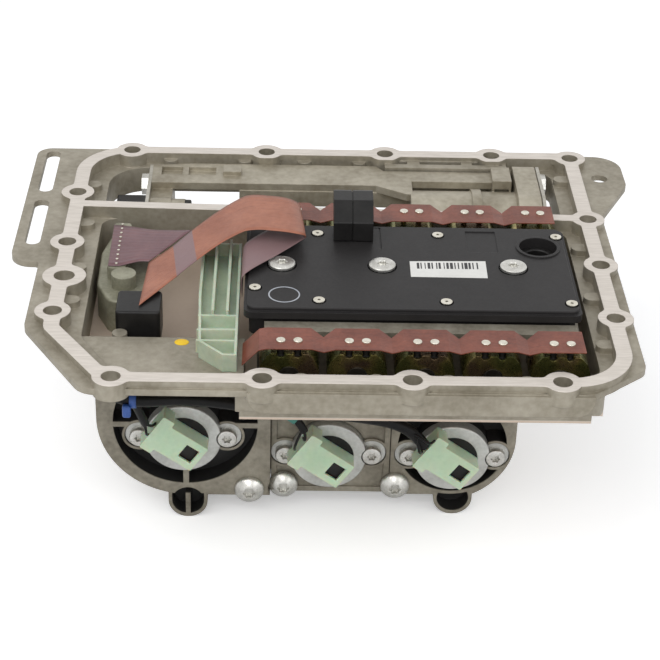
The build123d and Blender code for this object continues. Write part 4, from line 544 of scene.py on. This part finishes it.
NODE_FINISH: dict[str, Finish] = {
    "main_housing": CASTING,
    "valve_block": PLAIN_CASTING,
    "cylinder_block": PLAIN_CASTING,
    "left_end_cover": COVER_LEFT,
    "middle_end_cover": PLAIN_CASTING,
    "right_end_cover": COVER_RIGHT,
    "shift_cylinder": ACTUATOR_CASTING,
    "cylinder_end_cover": ACTUATOR_CASTING,
    "actuator_plates": STEEL_PLATE,
    "actuator_bolts": ZINC,
    "shift_rod": STEEL_PLATE,
    "rod_seal": RUBBER,
    "position_sensor": BLACK_PLUG,
    "socket_unit": SOCKET_GREY,
    "socket_pins": TIN,
    "solenoid_pins": TIN,
    "cover_rivets": TIN,
    "control_cover": BLACK_LID,
    "control_base": BLACK_LID,
    "port_ring": BLACK_PLUG,
    "side_plug": BLACK_PLUG,
    "top_plug": BLACK_PLUG,
    "circuit_board": BOARD,
    "cable_bracket": BRACKET_GREEN,
    "front_flex": RIBBON,
    "rear_flex": RIBBON,
    "loop_flex": LOOP_FILM,
    "branch_flex": BRANCH_FILM,
    "front_end_plates": CHROMATE,
    "solenoid_cores": DARK_STEEL,
    "solenoid_coils": COIL_BLACK,
    "control_screws": ZINC,
    "flanged_screws": ZINC,
    "retainer_screws": ZINC,
    "end_cover_gaskets": RUBBER,
    "wiring_harness": RUBBER,
}
for side in ("left", "middle", "right"):
    NODE_FINISH[f"{side}_retainer"] = BRIGHT_CASTING
    NODE_FINISH[f"{side}_coil_head"] = COIL_BLACK
    NODE_FINISH[f"{side}_plug"] = PALE_GREEN
for number in range(1, 6):
    NODE_FINISH[f"front_solenoid_{number}"] = CHROMATE
    NODE_FINISH[f"rear_solenoid_{number}"] = CHROMATE
    NODE_FINISH[f"front_plunger_{number}"] = DARK_STEEL


class Paintbox:
    """Builds each finish once and puts it on pieces."""

    def __init__(self) -> None:
        """Starts with the shared effects and no materials."""
        self.library = EffectLibrary()
        self.made: dict[str, bpy.types.Material] = {}

    def material(self, finish: Finish) -> bpy.types.Material:
        """Gives the material of a finish, built on first use."""
        if finish.name not in self.made:
            self.made[finish.name] = finish.build(self.library)
        return self.made[finish.name]

    def paint(self, piece: bpy.types.Object, finish: Finish) -> None:
        """Puts a finish on every material slot of a piece."""
        if not piece.material_slots:
            piece.data.materials.append(self.material(finish))
        for place in piece.material_slots:
            place.material = self.material(finish)


def seat(piece: bpy.types.Object, finish: Finish, box: Paintbox) -> bpy.types.Object:
    """Paints a piece, giving it a material slot if it has none, and lets it ride on the housing."""
    box.paint(piece, finish)
    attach(piece, HOUSING)
    return piece


def piece_from(
    mesh: bmesh.types.BMesh, name: str, finish: Finish, box: Paintbox, smooth: bool = True
) -> bpy.types.Object:
    """Turns a bmesh into a finished piece that rides on the housing.

    Args:
        mesh: The shape, in metres in the part's frame; it is freed.
        name: The piece's name.
        finish: Its surface.
        box: The paintbox.
        smooth: Whether its faces are shaded smooth.

    Returns:
        The new object.
    """
    data = bpy.data.meshes.new(name)
    for face in mesh.faces:
        face.smooth = smooth
    mesh.to_mesh(data)
    mesh.free()
    return seat(new_object(name, data), finish, box)


def merge(whole: bmesh.types.BMesh, part: bmesh.types.BMesh) -> None:
    """Adds one bmesh to another and frees it."""
    scratch = bpy.data.meshes.new("scratch")
    part.to_mesh(scratch)
    part.free()
    whole.from_mesh(scratch)
    bpy.data.meshes.remove(scratch)


def ring_solid(inner: float, outer: float, height: float, segments: int = 72) -> bmesh.types.BMesh:
    """Flat ring with a square section, centred on the origin with its foot at zero.

    Args:
        inner: Inner radius in mm.
        outer: Outer radius in mm.
        height: Height in mm.
        segments: Steps round the ring.

    Returns:
        The ring, in metres.
    """
    mesh = bmesh.new()
    corners = ((inner, 0.0), (outer, 0.0), (outer, height), (inner, height))
    section = bmesh.ops.create_circle(mesh, cap_ends=False, segments=4, radius=1.0)["verts"]
    for vertex, (reach, rise) in zip(section, corners):
        vertex.co = Vector((reach, 0.0, rise)) * MM
    bmesh.ops.spin(
        mesh, geom=list(mesh.verts) + list(mesh.edges), cent=(0, 0, 0), axis=(0, 0, 1), angle=math.tau,
        steps=segments, use_merge=True,
    )
    bmesh.ops.recalc_face_normals(mesh, faces=mesh.faces)
    return mesh


def tip(mesh: bmesh.types.BMesh, axis: str) -> None:
    """Turns a bmesh a quarter turn about an axis through the origin."""
    quarter = Matrix.Rotation(math.radians(90), 3, axis)
    bmesh.ops.rotate(mesh, cent=(0, 0, 0), matrix=quarter, verts=mesh.verts)


@dataclass(frozen=True)
class Lamp:
    """One square area lamp: its place and side in metres and its power in watts."""

    name: str
    place: Point
    side: float
    power: float

    def hang(self, aim: Point) -> None:
        """Adds the lamp, pointed at a place."""
        data = bpy.data.lights.new(self.name, "AREA")
        data.shape, data.size, data.energy = "SQUARE", self.side, self.power
        lamp = new_object(self.name, data)
        lamp.location = self.place
        lamp.rotation_mode = "QUATERNION"
        lamp.rotation_quaternion = (Vector(aim) - Vector(self.place)).to_track_quat("-Z", "Y")


@dataclass
class Studio:
    """Camera at the photograph's angle, pale floor and soft lamps."""

    eye: Point = (-0.0323, -1.0418, 0.713)
    right: Point = (0.99956, -0.01538, 0.02535)
    down: Point = (0.01393, -0.51116, -0.85938)
    ahead: Point = (0.02617, 0.85935, -0.51072)
    lens: float = 105.51
    sensor: float = 36.0
    clip: Spot = (0.05, 50.0)
    sky: Tint = (0.97, 0.98, 1.0, 1.0)
    ambient: float = 0.62
    floor_size: float = 12.0
    floor_paint: Tint = (0.93, 0.93, 0.93, 1.0)
    floor_glow: float = 0.34
    aim: Point = (0.0, 0.0, 0.1)
    lamps: tuple[Lamp, ...] = (
        Lamp("key_lamp", (-0.9, -0.9, 1.7), 1.2, 12.0),
        Lamp("fill_lamp", (1.2, -1.1, 1.1), 1.2, 5.0),
        Lamp("front_lamp", (-0.1, -1.3, 1.15), 0.7, 4.5),
    )

    def camera(self) -> None:
        """Sets the camera where the photograph was taken."""
        data = bpy.data.cameras.new("camera")
        data.lens = self.lens
        data.sensor_width = self.sensor
        data.clip_start, data.clip_end = self.clip
        camera = new_object("camera", data)
        rows = [[self.right[i], -self.down[i], -self.ahead[i], self.eye[i]] for i in range(3)]
        camera.matrix_world = Matrix(rows + [[0.0, 0.0, 0.0, 1.0]])
        bpy.context.scene.camera = camera

    def world(self) -> None:
        """White background for the camera and reflections, a softer one for the light itself."""
        scene = bpy.context.scene
        scene.view_settings.view_transform = "Standard"
        scene.world = bpy.data.worlds.new("studio")
        scene.world.use_nodes = True
        scene.world.node_tree.nodes.clear()
        wires = Wires(scene.world.node_tree)
        rays = wires.add("ShaderNodeLightPath").outputs
        seen = wires.math("MAXIMUM", rays["Is Camera Ray"], rays["Is Glossy Ray"])
        seen = wires.math("MAXIMUM", seen, rays["Is Transmission Ray"])
        soft = wires.add("ShaderNodeBackground", {"Color": self.sky, "Strength": self.ambient})
        white = wires.add("ShaderNodeBackground", {"Color": WHITE, "Strength": 1.0})
        mixed = wires.add("ShaderNodeMixShader", {0: seen, 1: soft.outputs[0], 2: white.outputs[0]})
        wires.add("ShaderNodeOutputWorld", {"Surface": mixed.outputs[0]})

    def floor(self) -> None:
        """Pale floor under the feet."""
        mesh = bmesh.new()
        bmesh.ops.create_grid(mesh, x_segments=1, y_segments=1, size=self.floor_size / 2)
        data = bpy.data.meshes.new("floor")
        mesh.to_mesh(data)
        mesh.free()
        floor = new_object("floor", data)
        material, wires = blank_material("floor_white")
        paint = wires.add("ShaderNodeBsdfDiffuse", {"Color": self.floor_paint})
        glow = wires.add("ShaderNodeEmission", {"Color": WHITE, "Strength": self.floor_glow})
        rays = wires.add("ShaderNodeLightPath")
        lift = wires.add("ShaderNodeMixShader", {0: rays.outputs["Is Camera Ray"], 2: glow.outputs[0]})
        both = wires.add("ShaderNodeAddShader", {0: paint.outputs[0], 1: lift.outputs[0]})
        wires.add("ShaderNodeOutputMaterial", {"Surface": both.outputs[0]})
        data.materials.append(material)

    def build(self) -> None:
        """Sets up everything that isn't the part."""
        self.camera()
        self.world()
        self.floor()
        for lamp in self.lamps:
            lamp.hang(self.aim)
        log.info("studio: camera, floor and %d lamps", len(self.lamps))


@dataclass
class FlatCircuits:
    """Folded loop circuit and fanned branch circuit, laid through their cross lines."""

    film_mm: float = 0.3
    steps: int = 8
    across: int = 12
    shortest: float = 1e-6
    loop: tuple = (
        ((-114.0, -68.0, 1.0), (-112.0, -11.5, -1.5)),
        ((-93.8, -38.5, 4.0), (-98.0, 0.5, 3.4)),
        ((-82.1, -24.0, 7.5), (-86.8, 14.0, 7.5)),
        ((-53.9, -9.5, 20.0), (-54.3, 37.3, 20.0)),
        ((-38.0, -12.0, 22.0), (-41.0, 34.0, 22.0)),
        ((-22.0, -16.0, 22.0), (-27.0, 30.0, 22.0)),
        ((-17.0, -11.0, 17.5), (-20.5, 30.0, 17.5)),
        ((-20.0, -8.0, 13.2), (-23.0, 29.0, 13.2)),
        ((-36.0, -27.0, 12.2), (-38.0, 10.0, 12.2)),
        ((-51.5, -45.0, 11.6), (-52.5, -8.0, 11.6)),
        ((-54.6, -47.0, 9.0), (-54.6, -9.6, 9.0)),
        ((-54.6, -47.0, -4.0), (-54.6, -9.6, -4.0)),
    )
    branch: tuple = (
        ((-136.5, -14.0, -2.7), (-137.0, 39.0, -2.7)),
        ((-129.5, -14.0, -2.7), (-129.5, 38.0, -2.7)),
        ((-118.0, -10.0, -1.6), (-112.0, 27.0, 0.6)),
        ((-112.2, -11.0, -1.1), (-87.3, 14.6, 7.3)),
    )

    def _spline(self, points: list[Vector], u: float) -> Vector:
        """Centripetal curve through the points, at a place from 0 to the number of runs."""
        index = min(int(u), len(points) - 2)
        before = points[index - 1] if index else points[0] * 2 - points[1]
        after = points[index + 2] if index + 2 < len(points) else points[-1] * 2 - points[-2]
        level = [before, points[index], points[index + 1], after]
        reaches = (math.sqrt(max((b - a).length, self.shortest)) for a, b in pairwise(level))
        knots = list(accumulate(reaches, initial=0.0))
        t = knots[1] + (u - index) * (knots[2] - knots[1])
        for depth in range(1, 4):
            level = [
                level[i] * ((knots[i + depth] - t) / (knots[i + depth] - knots[i]))
                + level[i + 1] * ((t - knots[i]) / (knots[i + depth] - knots[i]))
                for i in range(len(level) - 1)
            ]
        return level[0]

    def _lay(self, lines: tuple, name: str, finish: Finish, box: Paintbox) -> bpy.types.Object:
        """Lays a grid through the cross lines.

        Args:
            lines: Near and far end of each cross line, in mm from the sealing face.
            name: The piece's name.
            finish: Its surface.
            box: The paintbox.

        Returns:
            The ribbon.
        """
        near, far = ([at(*line[end]) for line in lines] for end in (0, 1))
        runs = (len(lines) - 1) * self.steps
        ends = [
            (self._spline(near, step / self.steps), self._spline(far, step / self.steps))
            for step in range(runs + 1)
        ]
        middles = [(low + high) / 2 for low, high in ends]
        lengths = list(accumulate(((b - a).length for a, b in pairwise(middles)), initial=0.0))
        width = (far[0] - near[0]).length
        mesh = bmesh.new()
        layer = mesh.loops.layers.uv.new("along")
        bmesh.ops.create_grid(mesh, x_segments=runs, y_segments=self.across, size=0.5)
        spots: dict[int, Spot] = {}
        for vertex in mesh.verts:
            step = round((vertex.co.x + 0.5) * runs)
            side = vertex.co.y + 0.5
            low, high = ends[step]
            spots[vertex.index] = (lengths[step], side * width)
            vertex.co = low.lerp(high, side)
        for face in mesh.faces:
            for corner in face.loops:
                corner[layer].uv = spots[corner.vert.index]
        bmesh.ops.recalc_face_normals(mesh, faces=mesh.faces)
        piece = piece_from(mesh, name, finish, box)
        solid = piece.modifiers.new("film", "SOLIDIFY")
        solid.thickness = self.film_mm * MM
        solid.offset = 0.0
        return piece

    def build(self, box: Paintbox) -> None:
        """Makes both circuits in place of their plain solids."""
        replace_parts(self._lay(self.loop, "loop_circuit", LOOP_FILM, box), "loop_flex")
        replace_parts(self._lay(self.branch, "branch_circuit", BRANCH_FILM, box), "branch_flex")
        log.info("flat circuits: loop and branch")


@dataclass
class Harness:
    """Loom under the front wall, its sleeved leads to the three plugs, the tie and the sleeve."""

    loom_mm: float = 7.5
    loom_length: float = 0.225
    sleeve_mm: float = 5.0
    wire_mm: float = 1.7
    route: tuple[Point, ...] = (
        (-138.0, -100.0, -15.0), (-138.0, -100.0, -30.0), (-128.0, -99.0, -42.0), (-112.0, -97.0, -46.5),
        (-94.0, -94.0, -46.5), (-76.0, -89.0, -50.0), (-52.0, -86.0, -55.5), (-28.0, -85.0, -58.8),
        (-4.0, -83.0, -62.0), (20.0, -81.0, -66.0), (38.0, -80.0, -70.5), (50.0, -80.0, -78.0),
        (56.0, -80.0, -87.0),
    )
    sleeves: tuple[tuple[Point, ...], ...] = (
        ((-117.0, -97.0, -46.0), (-114.5, -94.0, -53.0), (-112.2, -91.0, -61.5), (-110.5, -88.5, -67.5)),
        ((-24.0, -86.0, -61.0), (-20.5, -87.5, -65.5), (-18.0, -88.0, -69.0), (-16.8, -88.0, -72.0)),
    )
    wires: tuple[tuple[Point, ...], ...] = (
        ((-110.5, -88.5, -67.0), (-108.4, -89.0, -68.8), (-106.0, -86.0, -70.5), (-105.0, -82.0, -71.5)),
        ((-110.8, -88.5, -67.0), (-110.2, -89.0, -73.0), (-110.0, -86.0, -77.5), (-108.0, -82.0, -79.0)),
        ((-17.5, -88.0, -70.0), (-20.2, -89.0, -76.0), (-22.6, -87.0, -85.0), (-22.0, -82.0, -89.0)),
        ((-16.8, -88.0, -71.0), (-15.9, -89.0, -75.0), (-16.2, -87.0, -80.0), (-17.0, -80.0, -82.0)),
        ((50.0, -84.0, -76.0), (55.0, -88.0, -77.8), (59.0, -87.0, -81.0), (61.5, -80.0, -83.0)),
        ((50.5, -83.0, -77.0), (51.4, -88.0, -82.0), (52.8, -87.0, -88.5), (54.5, -80.0, -91.0)),
    )
    tie_place: Point = (-118.5, -98.0, -45.0)
    tie_bite: float = 0.2
    tie_thick: float = 1.0
    tie_width: float = 4.0
    tie_head: Point = (-120.0, -102.5, -49.5)
    tie_head_size: Point = (5.0, 4.5, 8.0)
    tie_head_edge: float = 1.4
    teal_run: tuple[Point, ...] = ((-33.0, -85.2, -58.4), (-27.0, -86.2, -60.2), (-21.5, -87.4, -64.4))
    teal_mm: float = 6.4

    def _curve(
        self, name: str, points: tuple[Point, ...], diameter: float, finish: Finish, box: Paintbox
    ) -> bpy.types.Object:
        """One wire along a smooth curve.

        Args:
            name: The piece's name.
            points: Its route, in mm from the sealing face.
            diameter: Its thickness in mm.
            finish: Its surface.
            box: The paintbox.

        Returns:
            The wire.
        """
        data = bpy.data.curves.new(name, "CURVE")
        data.dimensions = "3D"
        data.bevel_depth = diameter / 2 * MM
        data.bevel_resolution = 6
        data.resolution_u = 10
        data.use_fill_caps = True
        spline = data.splines.new("NURBS")
        spline.points.add(len(points) - 1)
        for spot, point in zip(spline.points, points):
            spot.co = (*at(*point), 1.0)
        spline.order_u = 3
        spline.use_endpoint_u = True
        return seat(new_object(name, data), finish, box)

    def _tie(self, box: Paintbox) -> bpy.types.Object:
        """Blue cable tie: a band round the loom and its head in front."""
        radius = self.loom_mm / 2
        mesh = ring_solid(radius - self.tie_bite, radius + self.tie_thick, self.tie_width, 32)
        tip(mesh, "Y")
        bmesh.ops.translate(mesh, vec=at(*self.tie_place), verts=mesh.verts)
        size = Vector(self.tie_head_size) * MM
        head = Matrix.Translation(at(*self.tie_head)) @ Matrix.Diagonal((*size, 1.0))
        made = bmesh.ops.create_cube(mesh, size=1.0, matrix=head)["verts"]
        edges = list({edge for vertex in made for edge in vertex.link_edges})
        bmesh.ops.bevel(
            mesh, geom=edges, offset=self.tie_head_edge * MM, segments=4, profile=0.5, affect="EDGES",
            material=-1, clamp_overlap=True,
        )
        return piece_from(mesh, "loom_tie", BLUE_TIE, box)

    def build(self, box: Paintbox) -> None:
        """Makes the loom in place of its plain solid, and what hangs on it."""
        loom = self._curve("wiring_loom", self.route, self.loom_mm, RUBBER, box)
        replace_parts(loom, "wiring_harness")
        tie = self._tie(box)
        for number, points in enumerate(self.sleeves, start=1):
            self._curve(f"lead_sleeve_{number}", points, self.sleeve_mm, RUBBER, box)
        for number, points in enumerate(self.wires, start=1):
            self._curve(f"plug_wire_{number}", points, self.wire_mm, RUBBER, box)
        self._curve("teal_sleeve", self.teal_run, self.teal_mm, TEAL_SLEEVE, box)
        log.info("harness: loom, leads, tie and sleeve")


@dataclass
class ScrewSet:
    """Star-socket screws of one kind, turned from one profile and set in place."""

    name: str
    node: str
    profile: tuple[Spot, ...]
    star: float
    depth: float
    places: tuple[Point, ...]
    faces_front: bool = True
    segments: int = 72
    lobes: int = 6
    lobe_share: float = 0.16
    mouth_share: float = 1.12
    mouth_drop: float = 0.5
    sharp_angle: float = 35.0

    def _screw(self, place: Point) -> bmesh.types.BMesh:
        """Turns one screw and drives its star socket, ring by ring."""
        mesh = bmesh.new()
        foot_radius, foot_height = self.profile[0]
        bmesh.ops.create_circle(mesh, cap_ends=True, segments=self.segments, radius=foot_radius)
        for vertex in mesh.verts:
            vertex.co.z = foot_height
        top = self.profile[-1][1]
        rings = [(radius, height, 0.0) for radius, height in self.profile[1:]] + [
            (self.star * self.mouth_share, top, self.lobe_share),
            (self.star, top - self.mouth_drop, self.lobe_share),
            (self.star, top - self.depth, self.lobe_share),
        ]
        edges = list(mesh.edges)
        for radius, height, lobe in rings:
            made = bmesh.ops.extrude_edge_only(mesh, edges=edges)["geom"]
            edges = [item for item in made if isinstance(item, bmesh.types.BMEdge)]
            for vertex in (item for item in made if isinstance(item, bmesh.types.BMVert)):
                angle = math.atan2(vertex.co.y, vertex.co.x)
                reach = radius * (1.0 + lobe * math.cos(self.lobes * angle))
                vertex.co = Vector((math.cos(angle) * reach, math.sin(angle) * reach, height))
        bmesh.ops.contextual_create(mesh, geom=edges)
        bmesh.ops.recalc_face_normals(mesh, faces=mesh.faces)
        bmesh.ops.scale(mesh, vec=(MM, MM, MM), verts=mesh.verts)
        if self.faces_front:
            tip(mesh, "X")
        bmesh.ops.translate(mesh, vec=Vector(place) * MM, verts=mesh.verts)
        return mesh

    def build(self, box: Paintbox) -> None:
        """Makes every screw of the set in place of its plain solids."""
        whole = bmesh.new()
        for place in self.places:
            merge(whole, self._screw(place))
        piece = piece_from(whole, self.name, ZINC, box)
        piece.data.set_sharp_from_angle(angle=math.radians(self.sharp_angle))
        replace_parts(piece, self.node)
        log.info("%s: %d screws", self.name, len(self.places))


RIVETS: tuple[Spot, ...] = (
    (-9.6, 9.3), (64.2, 9.3), (137.0, 9.0), (-46.9, -59.0),
    (-9.6, -73.0), (64.2, -73.0), (137.0, -73.0),
)
LID_SCREW_SPOTS: tuple[Spot, ...] = ((-31.3, -31.0), (28.5, -31.0), (107.0, -31.0))
LID_TOP = 9.0


@dataclass
class LidTrim:
    """Label, printed ring and dark gaps on the control unit's lid."""

    label: tuple[Spot, ...] = ((45.2, -24.4), (90.9, -23.0), (90.6, -43.8), (45.1, -43.4))
    label_thick: float = 0.1
    ink_rise: float = 0.13
    ring_centre: Spot = (-29.8, -66.7)
    ring_mm: float = 18.5
    ring_line: float = 0.8
    print_rise: float = 0.12
    rivet_gap: Spot = (3.45, 4.2)
    screw_gap: Spot = (8.05, 8.9)
    bars_start: float = 0.09
    bars_share: float = 0.82
    bars_height: Spot = (0.52, 0.9)
    bars: tuple[float, ...] = (
        1.0, 0.5, 0.5, 1.2, 0.4, 0.8, 1.1, 0.5, 0.6, 1.3, 0.5, 0.5, 0.9, 1.2, 0.4, 0.7, 1.0, 0.5, 1.2, 0.6,
        0.5, 0.9, 0.5, 1.1, 0.6, 0.5, 1.3, 0.4, 0.9, 0.7, 0.5, 1.2, 0.6, 0.5,
    )

    def _on_label(self, u: float, v: float, rise: float) -> Vector:
        """Place over the label by its two shares, from its lower left corner."""
        upper_left, upper_right, lower_right, lower_left = [at(x, y, LID_TOP + rise) for x, y in self.label]
        return lower_left.lerp(lower_right, u).lerp(upper_left.lerp(upper_right, u), v)

    def _patch(self, mesh: bmesh.types.BMesh, across: Spot, up: Spot, rise: float) -> None:
        """Adds one flat patch of the label, between two shares each way."""
        made = bmesh.ops.create_grid(mesh, x_segments=1, y_segments=1, size=1)["verts"]
        for vertex, (u, v) in zip(made, ((u, v) for v in up for u in across)):
            vertex.co = self._on_label(u, v, rise)

    def _plate(self, box: Paintbox) -> None:
        """Makes the label as a thin closed plate."""
        mesh = bmesh.new()
        self._patch(mesh, (0.0, 1.0), (0.0, 1.0), 0.0)
        made = bmesh.ops.extrude_face_region(mesh, geom=list(mesh.faces))["geom"]
        tops = [item for item in made if isinstance(item, bmesh.types.BMVert)]
        bmesh.ops.translate(mesh, vec=(0, 0, self.label_thick * MM), verts=tops)
        bmesh.ops.recalc_face_normals(mesh, faces=mesh.faces)
        piece_from(mesh, "lid_label", LABEL_WHITE, box, smooth=False)

    def _bars(self, box: Paintbox) -> None:
        """Prints plain bars of uneven width on the label."""
        mesh = bmesh.new()
        start = self.bars_start
        for index, width in enumerate(self.bars):
            end = start + width / sum(self.bars) * self.bars_share
            if index % 2 == 0:
                self._patch(mesh, (start, end), self.bars_height, self.ink_rise)
            start = end
        piece_from(mesh, "label_bars", LABEL_INK, box, smooth=False)

    def _ring(self, box: Paintbox) -> None:
        """Prints the ring."""
        mesh = ring_solid(self.ring_mm / 2 - self.ring_line, self.ring_mm / 2, self.print_rise)
        bmesh.ops.translate(mesh, vec=at(*self.ring_centre, LID_TOP), verts=mesh.verts)
        piece_from(mesh, "printed_ring", PRINT_GREY, box, smooth=False)

    def _gaps(self, box: Paintbox) -> None:
        """Dark gaps round the rivets and screws that sit in the lid."""
        whole = bmesh.new()
        for spots, gap in ((RIVETS, self.rivet_gap), (LID_SCREW_SPOTS, self.screw_gap)):
            for x, y in spots:
                mesh = ring_solid(*gap, self.print_rise / 2, 48)
                bmesh.ops.translate(mesh, vec=at(x, y, LID_TOP), verts=mesh.verts)
                merge(whole, mesh)
        piece_from(whole, "lid_gaps", GAP_BLACK, box, smooth=False)

    def build(self, box: Paintbox) -> None:
        """Makes the label with plain bars, the ring and the gaps."""
        for step in (self._plate, self._bars, self._ring, self._gaps):
            step(box)
        log.info("lid trim: label, ring and %d gaps", len(RIVETS) + len(LID_SCREW_SPOTS))


@dataclass
class PaintMark:
    """Yellow inspection mark on the edge of the front ledge."""

    centre: Point = (-88.3, -88.6, -11.0)
    radius_mm: float = 4.2
    rise_mm: float = 0.25
    squash: float = 0.85

    def build(self, box: Paintbox) -> None:
        """Makes the mark as a thin domed drop."""
        mesh = bmesh.new()
        bmesh.ops.create_uvsphere(mesh, u_segments=32, v_segments=12, radius=self.radius_mm * MM)
        shape = (1.0, self.squash, self.rise_mm / self.radius_mm)
        bmesh.ops.scale(mesh, vec=shape, verts=mesh.verts)
        bmesh.ops.translate(mesh, vec=at(*self.centre), verts=mesh.verts)
        piece_from(mesh, "yellow_mark", YELLOW_MARK, box)


FRONT = -64.0
LEFT_FRONT = -70.0
EAR_REACH = 26.4
EAR_DROP = 1.0
FLANGED_HEIGHT = 21.5
COILS: tuple[Point, ...] = ((-89.3, LEFT_FRONT, 60.0), (-1.3, FRONT, 44.5), (74.4, FRONT, 44.0))
FLANGED = ScrewSet(
    "flanged_screw_heads", "flanged_screws",
    (
        (4.0, -32.0), (4.0, 0.0), (8.8, 0.0), (9.0, 0.3), (9.0, 1.4), (8.8, 1.9), (8.2, 2.6), (7.2, 3.5),
        (6.0, 4.4), (4.9, 5.1), (4.2, 5.5), (3.9, 5.6),
    ),
    star=3.0, depth=3.0,
    places=tuple((x, y, FLANGED_HEIGHT) for x, y in ((-49.5, LEFT_FRONT), (-28.6, FRONT), (40.2, FRONT))),
)
RETAINER = ScrewSet(
    "retainer_screw_heads", "retainer_screws",
    ((3.0, -14.0), (3.0, 0.0), (6.0, 0.0), (6.0, 4.2), (5.6, 4.8), (5.0, 5.0)),
    star=2.3, depth=3.0,
    places=tuple((x + side * EAR_REACH, y + EAR_DROP, z) for x, y, z in COILS for side in (-1, 1)),
)
LID_SCREWS = ScrewSet(
    "lid_screw_heads", "control_screws",
    ((4.0, -27.0), (4.0, 0.0), (8.0, 0.0), (8.0, 1.5), (7.5, 2.0), (6.8, 2.2)),
    star=2.7, depth=1.8,
    places=tuple((x, y, FACE + LID_TOP) for x, y in LID_SCREW_SPOTS), faces_front=False,
)


def main() -> None:
    """Dresses the frame's solids, then builds each sub-assembly."""
    Studio().build()
    box = Paintbox()
    for name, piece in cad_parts.items():
        box.paint(piece, NODE_FINISH[name])
    log.info("finishes: %d solids", len(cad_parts))
    for assembly in (FlatCircuits(), Harness(), FLANGED, RETAINER, LID_SCREWS, LidTrim(), PaintMark()):
        assembly.build(box)


if __name__ == "__main__":
    main()
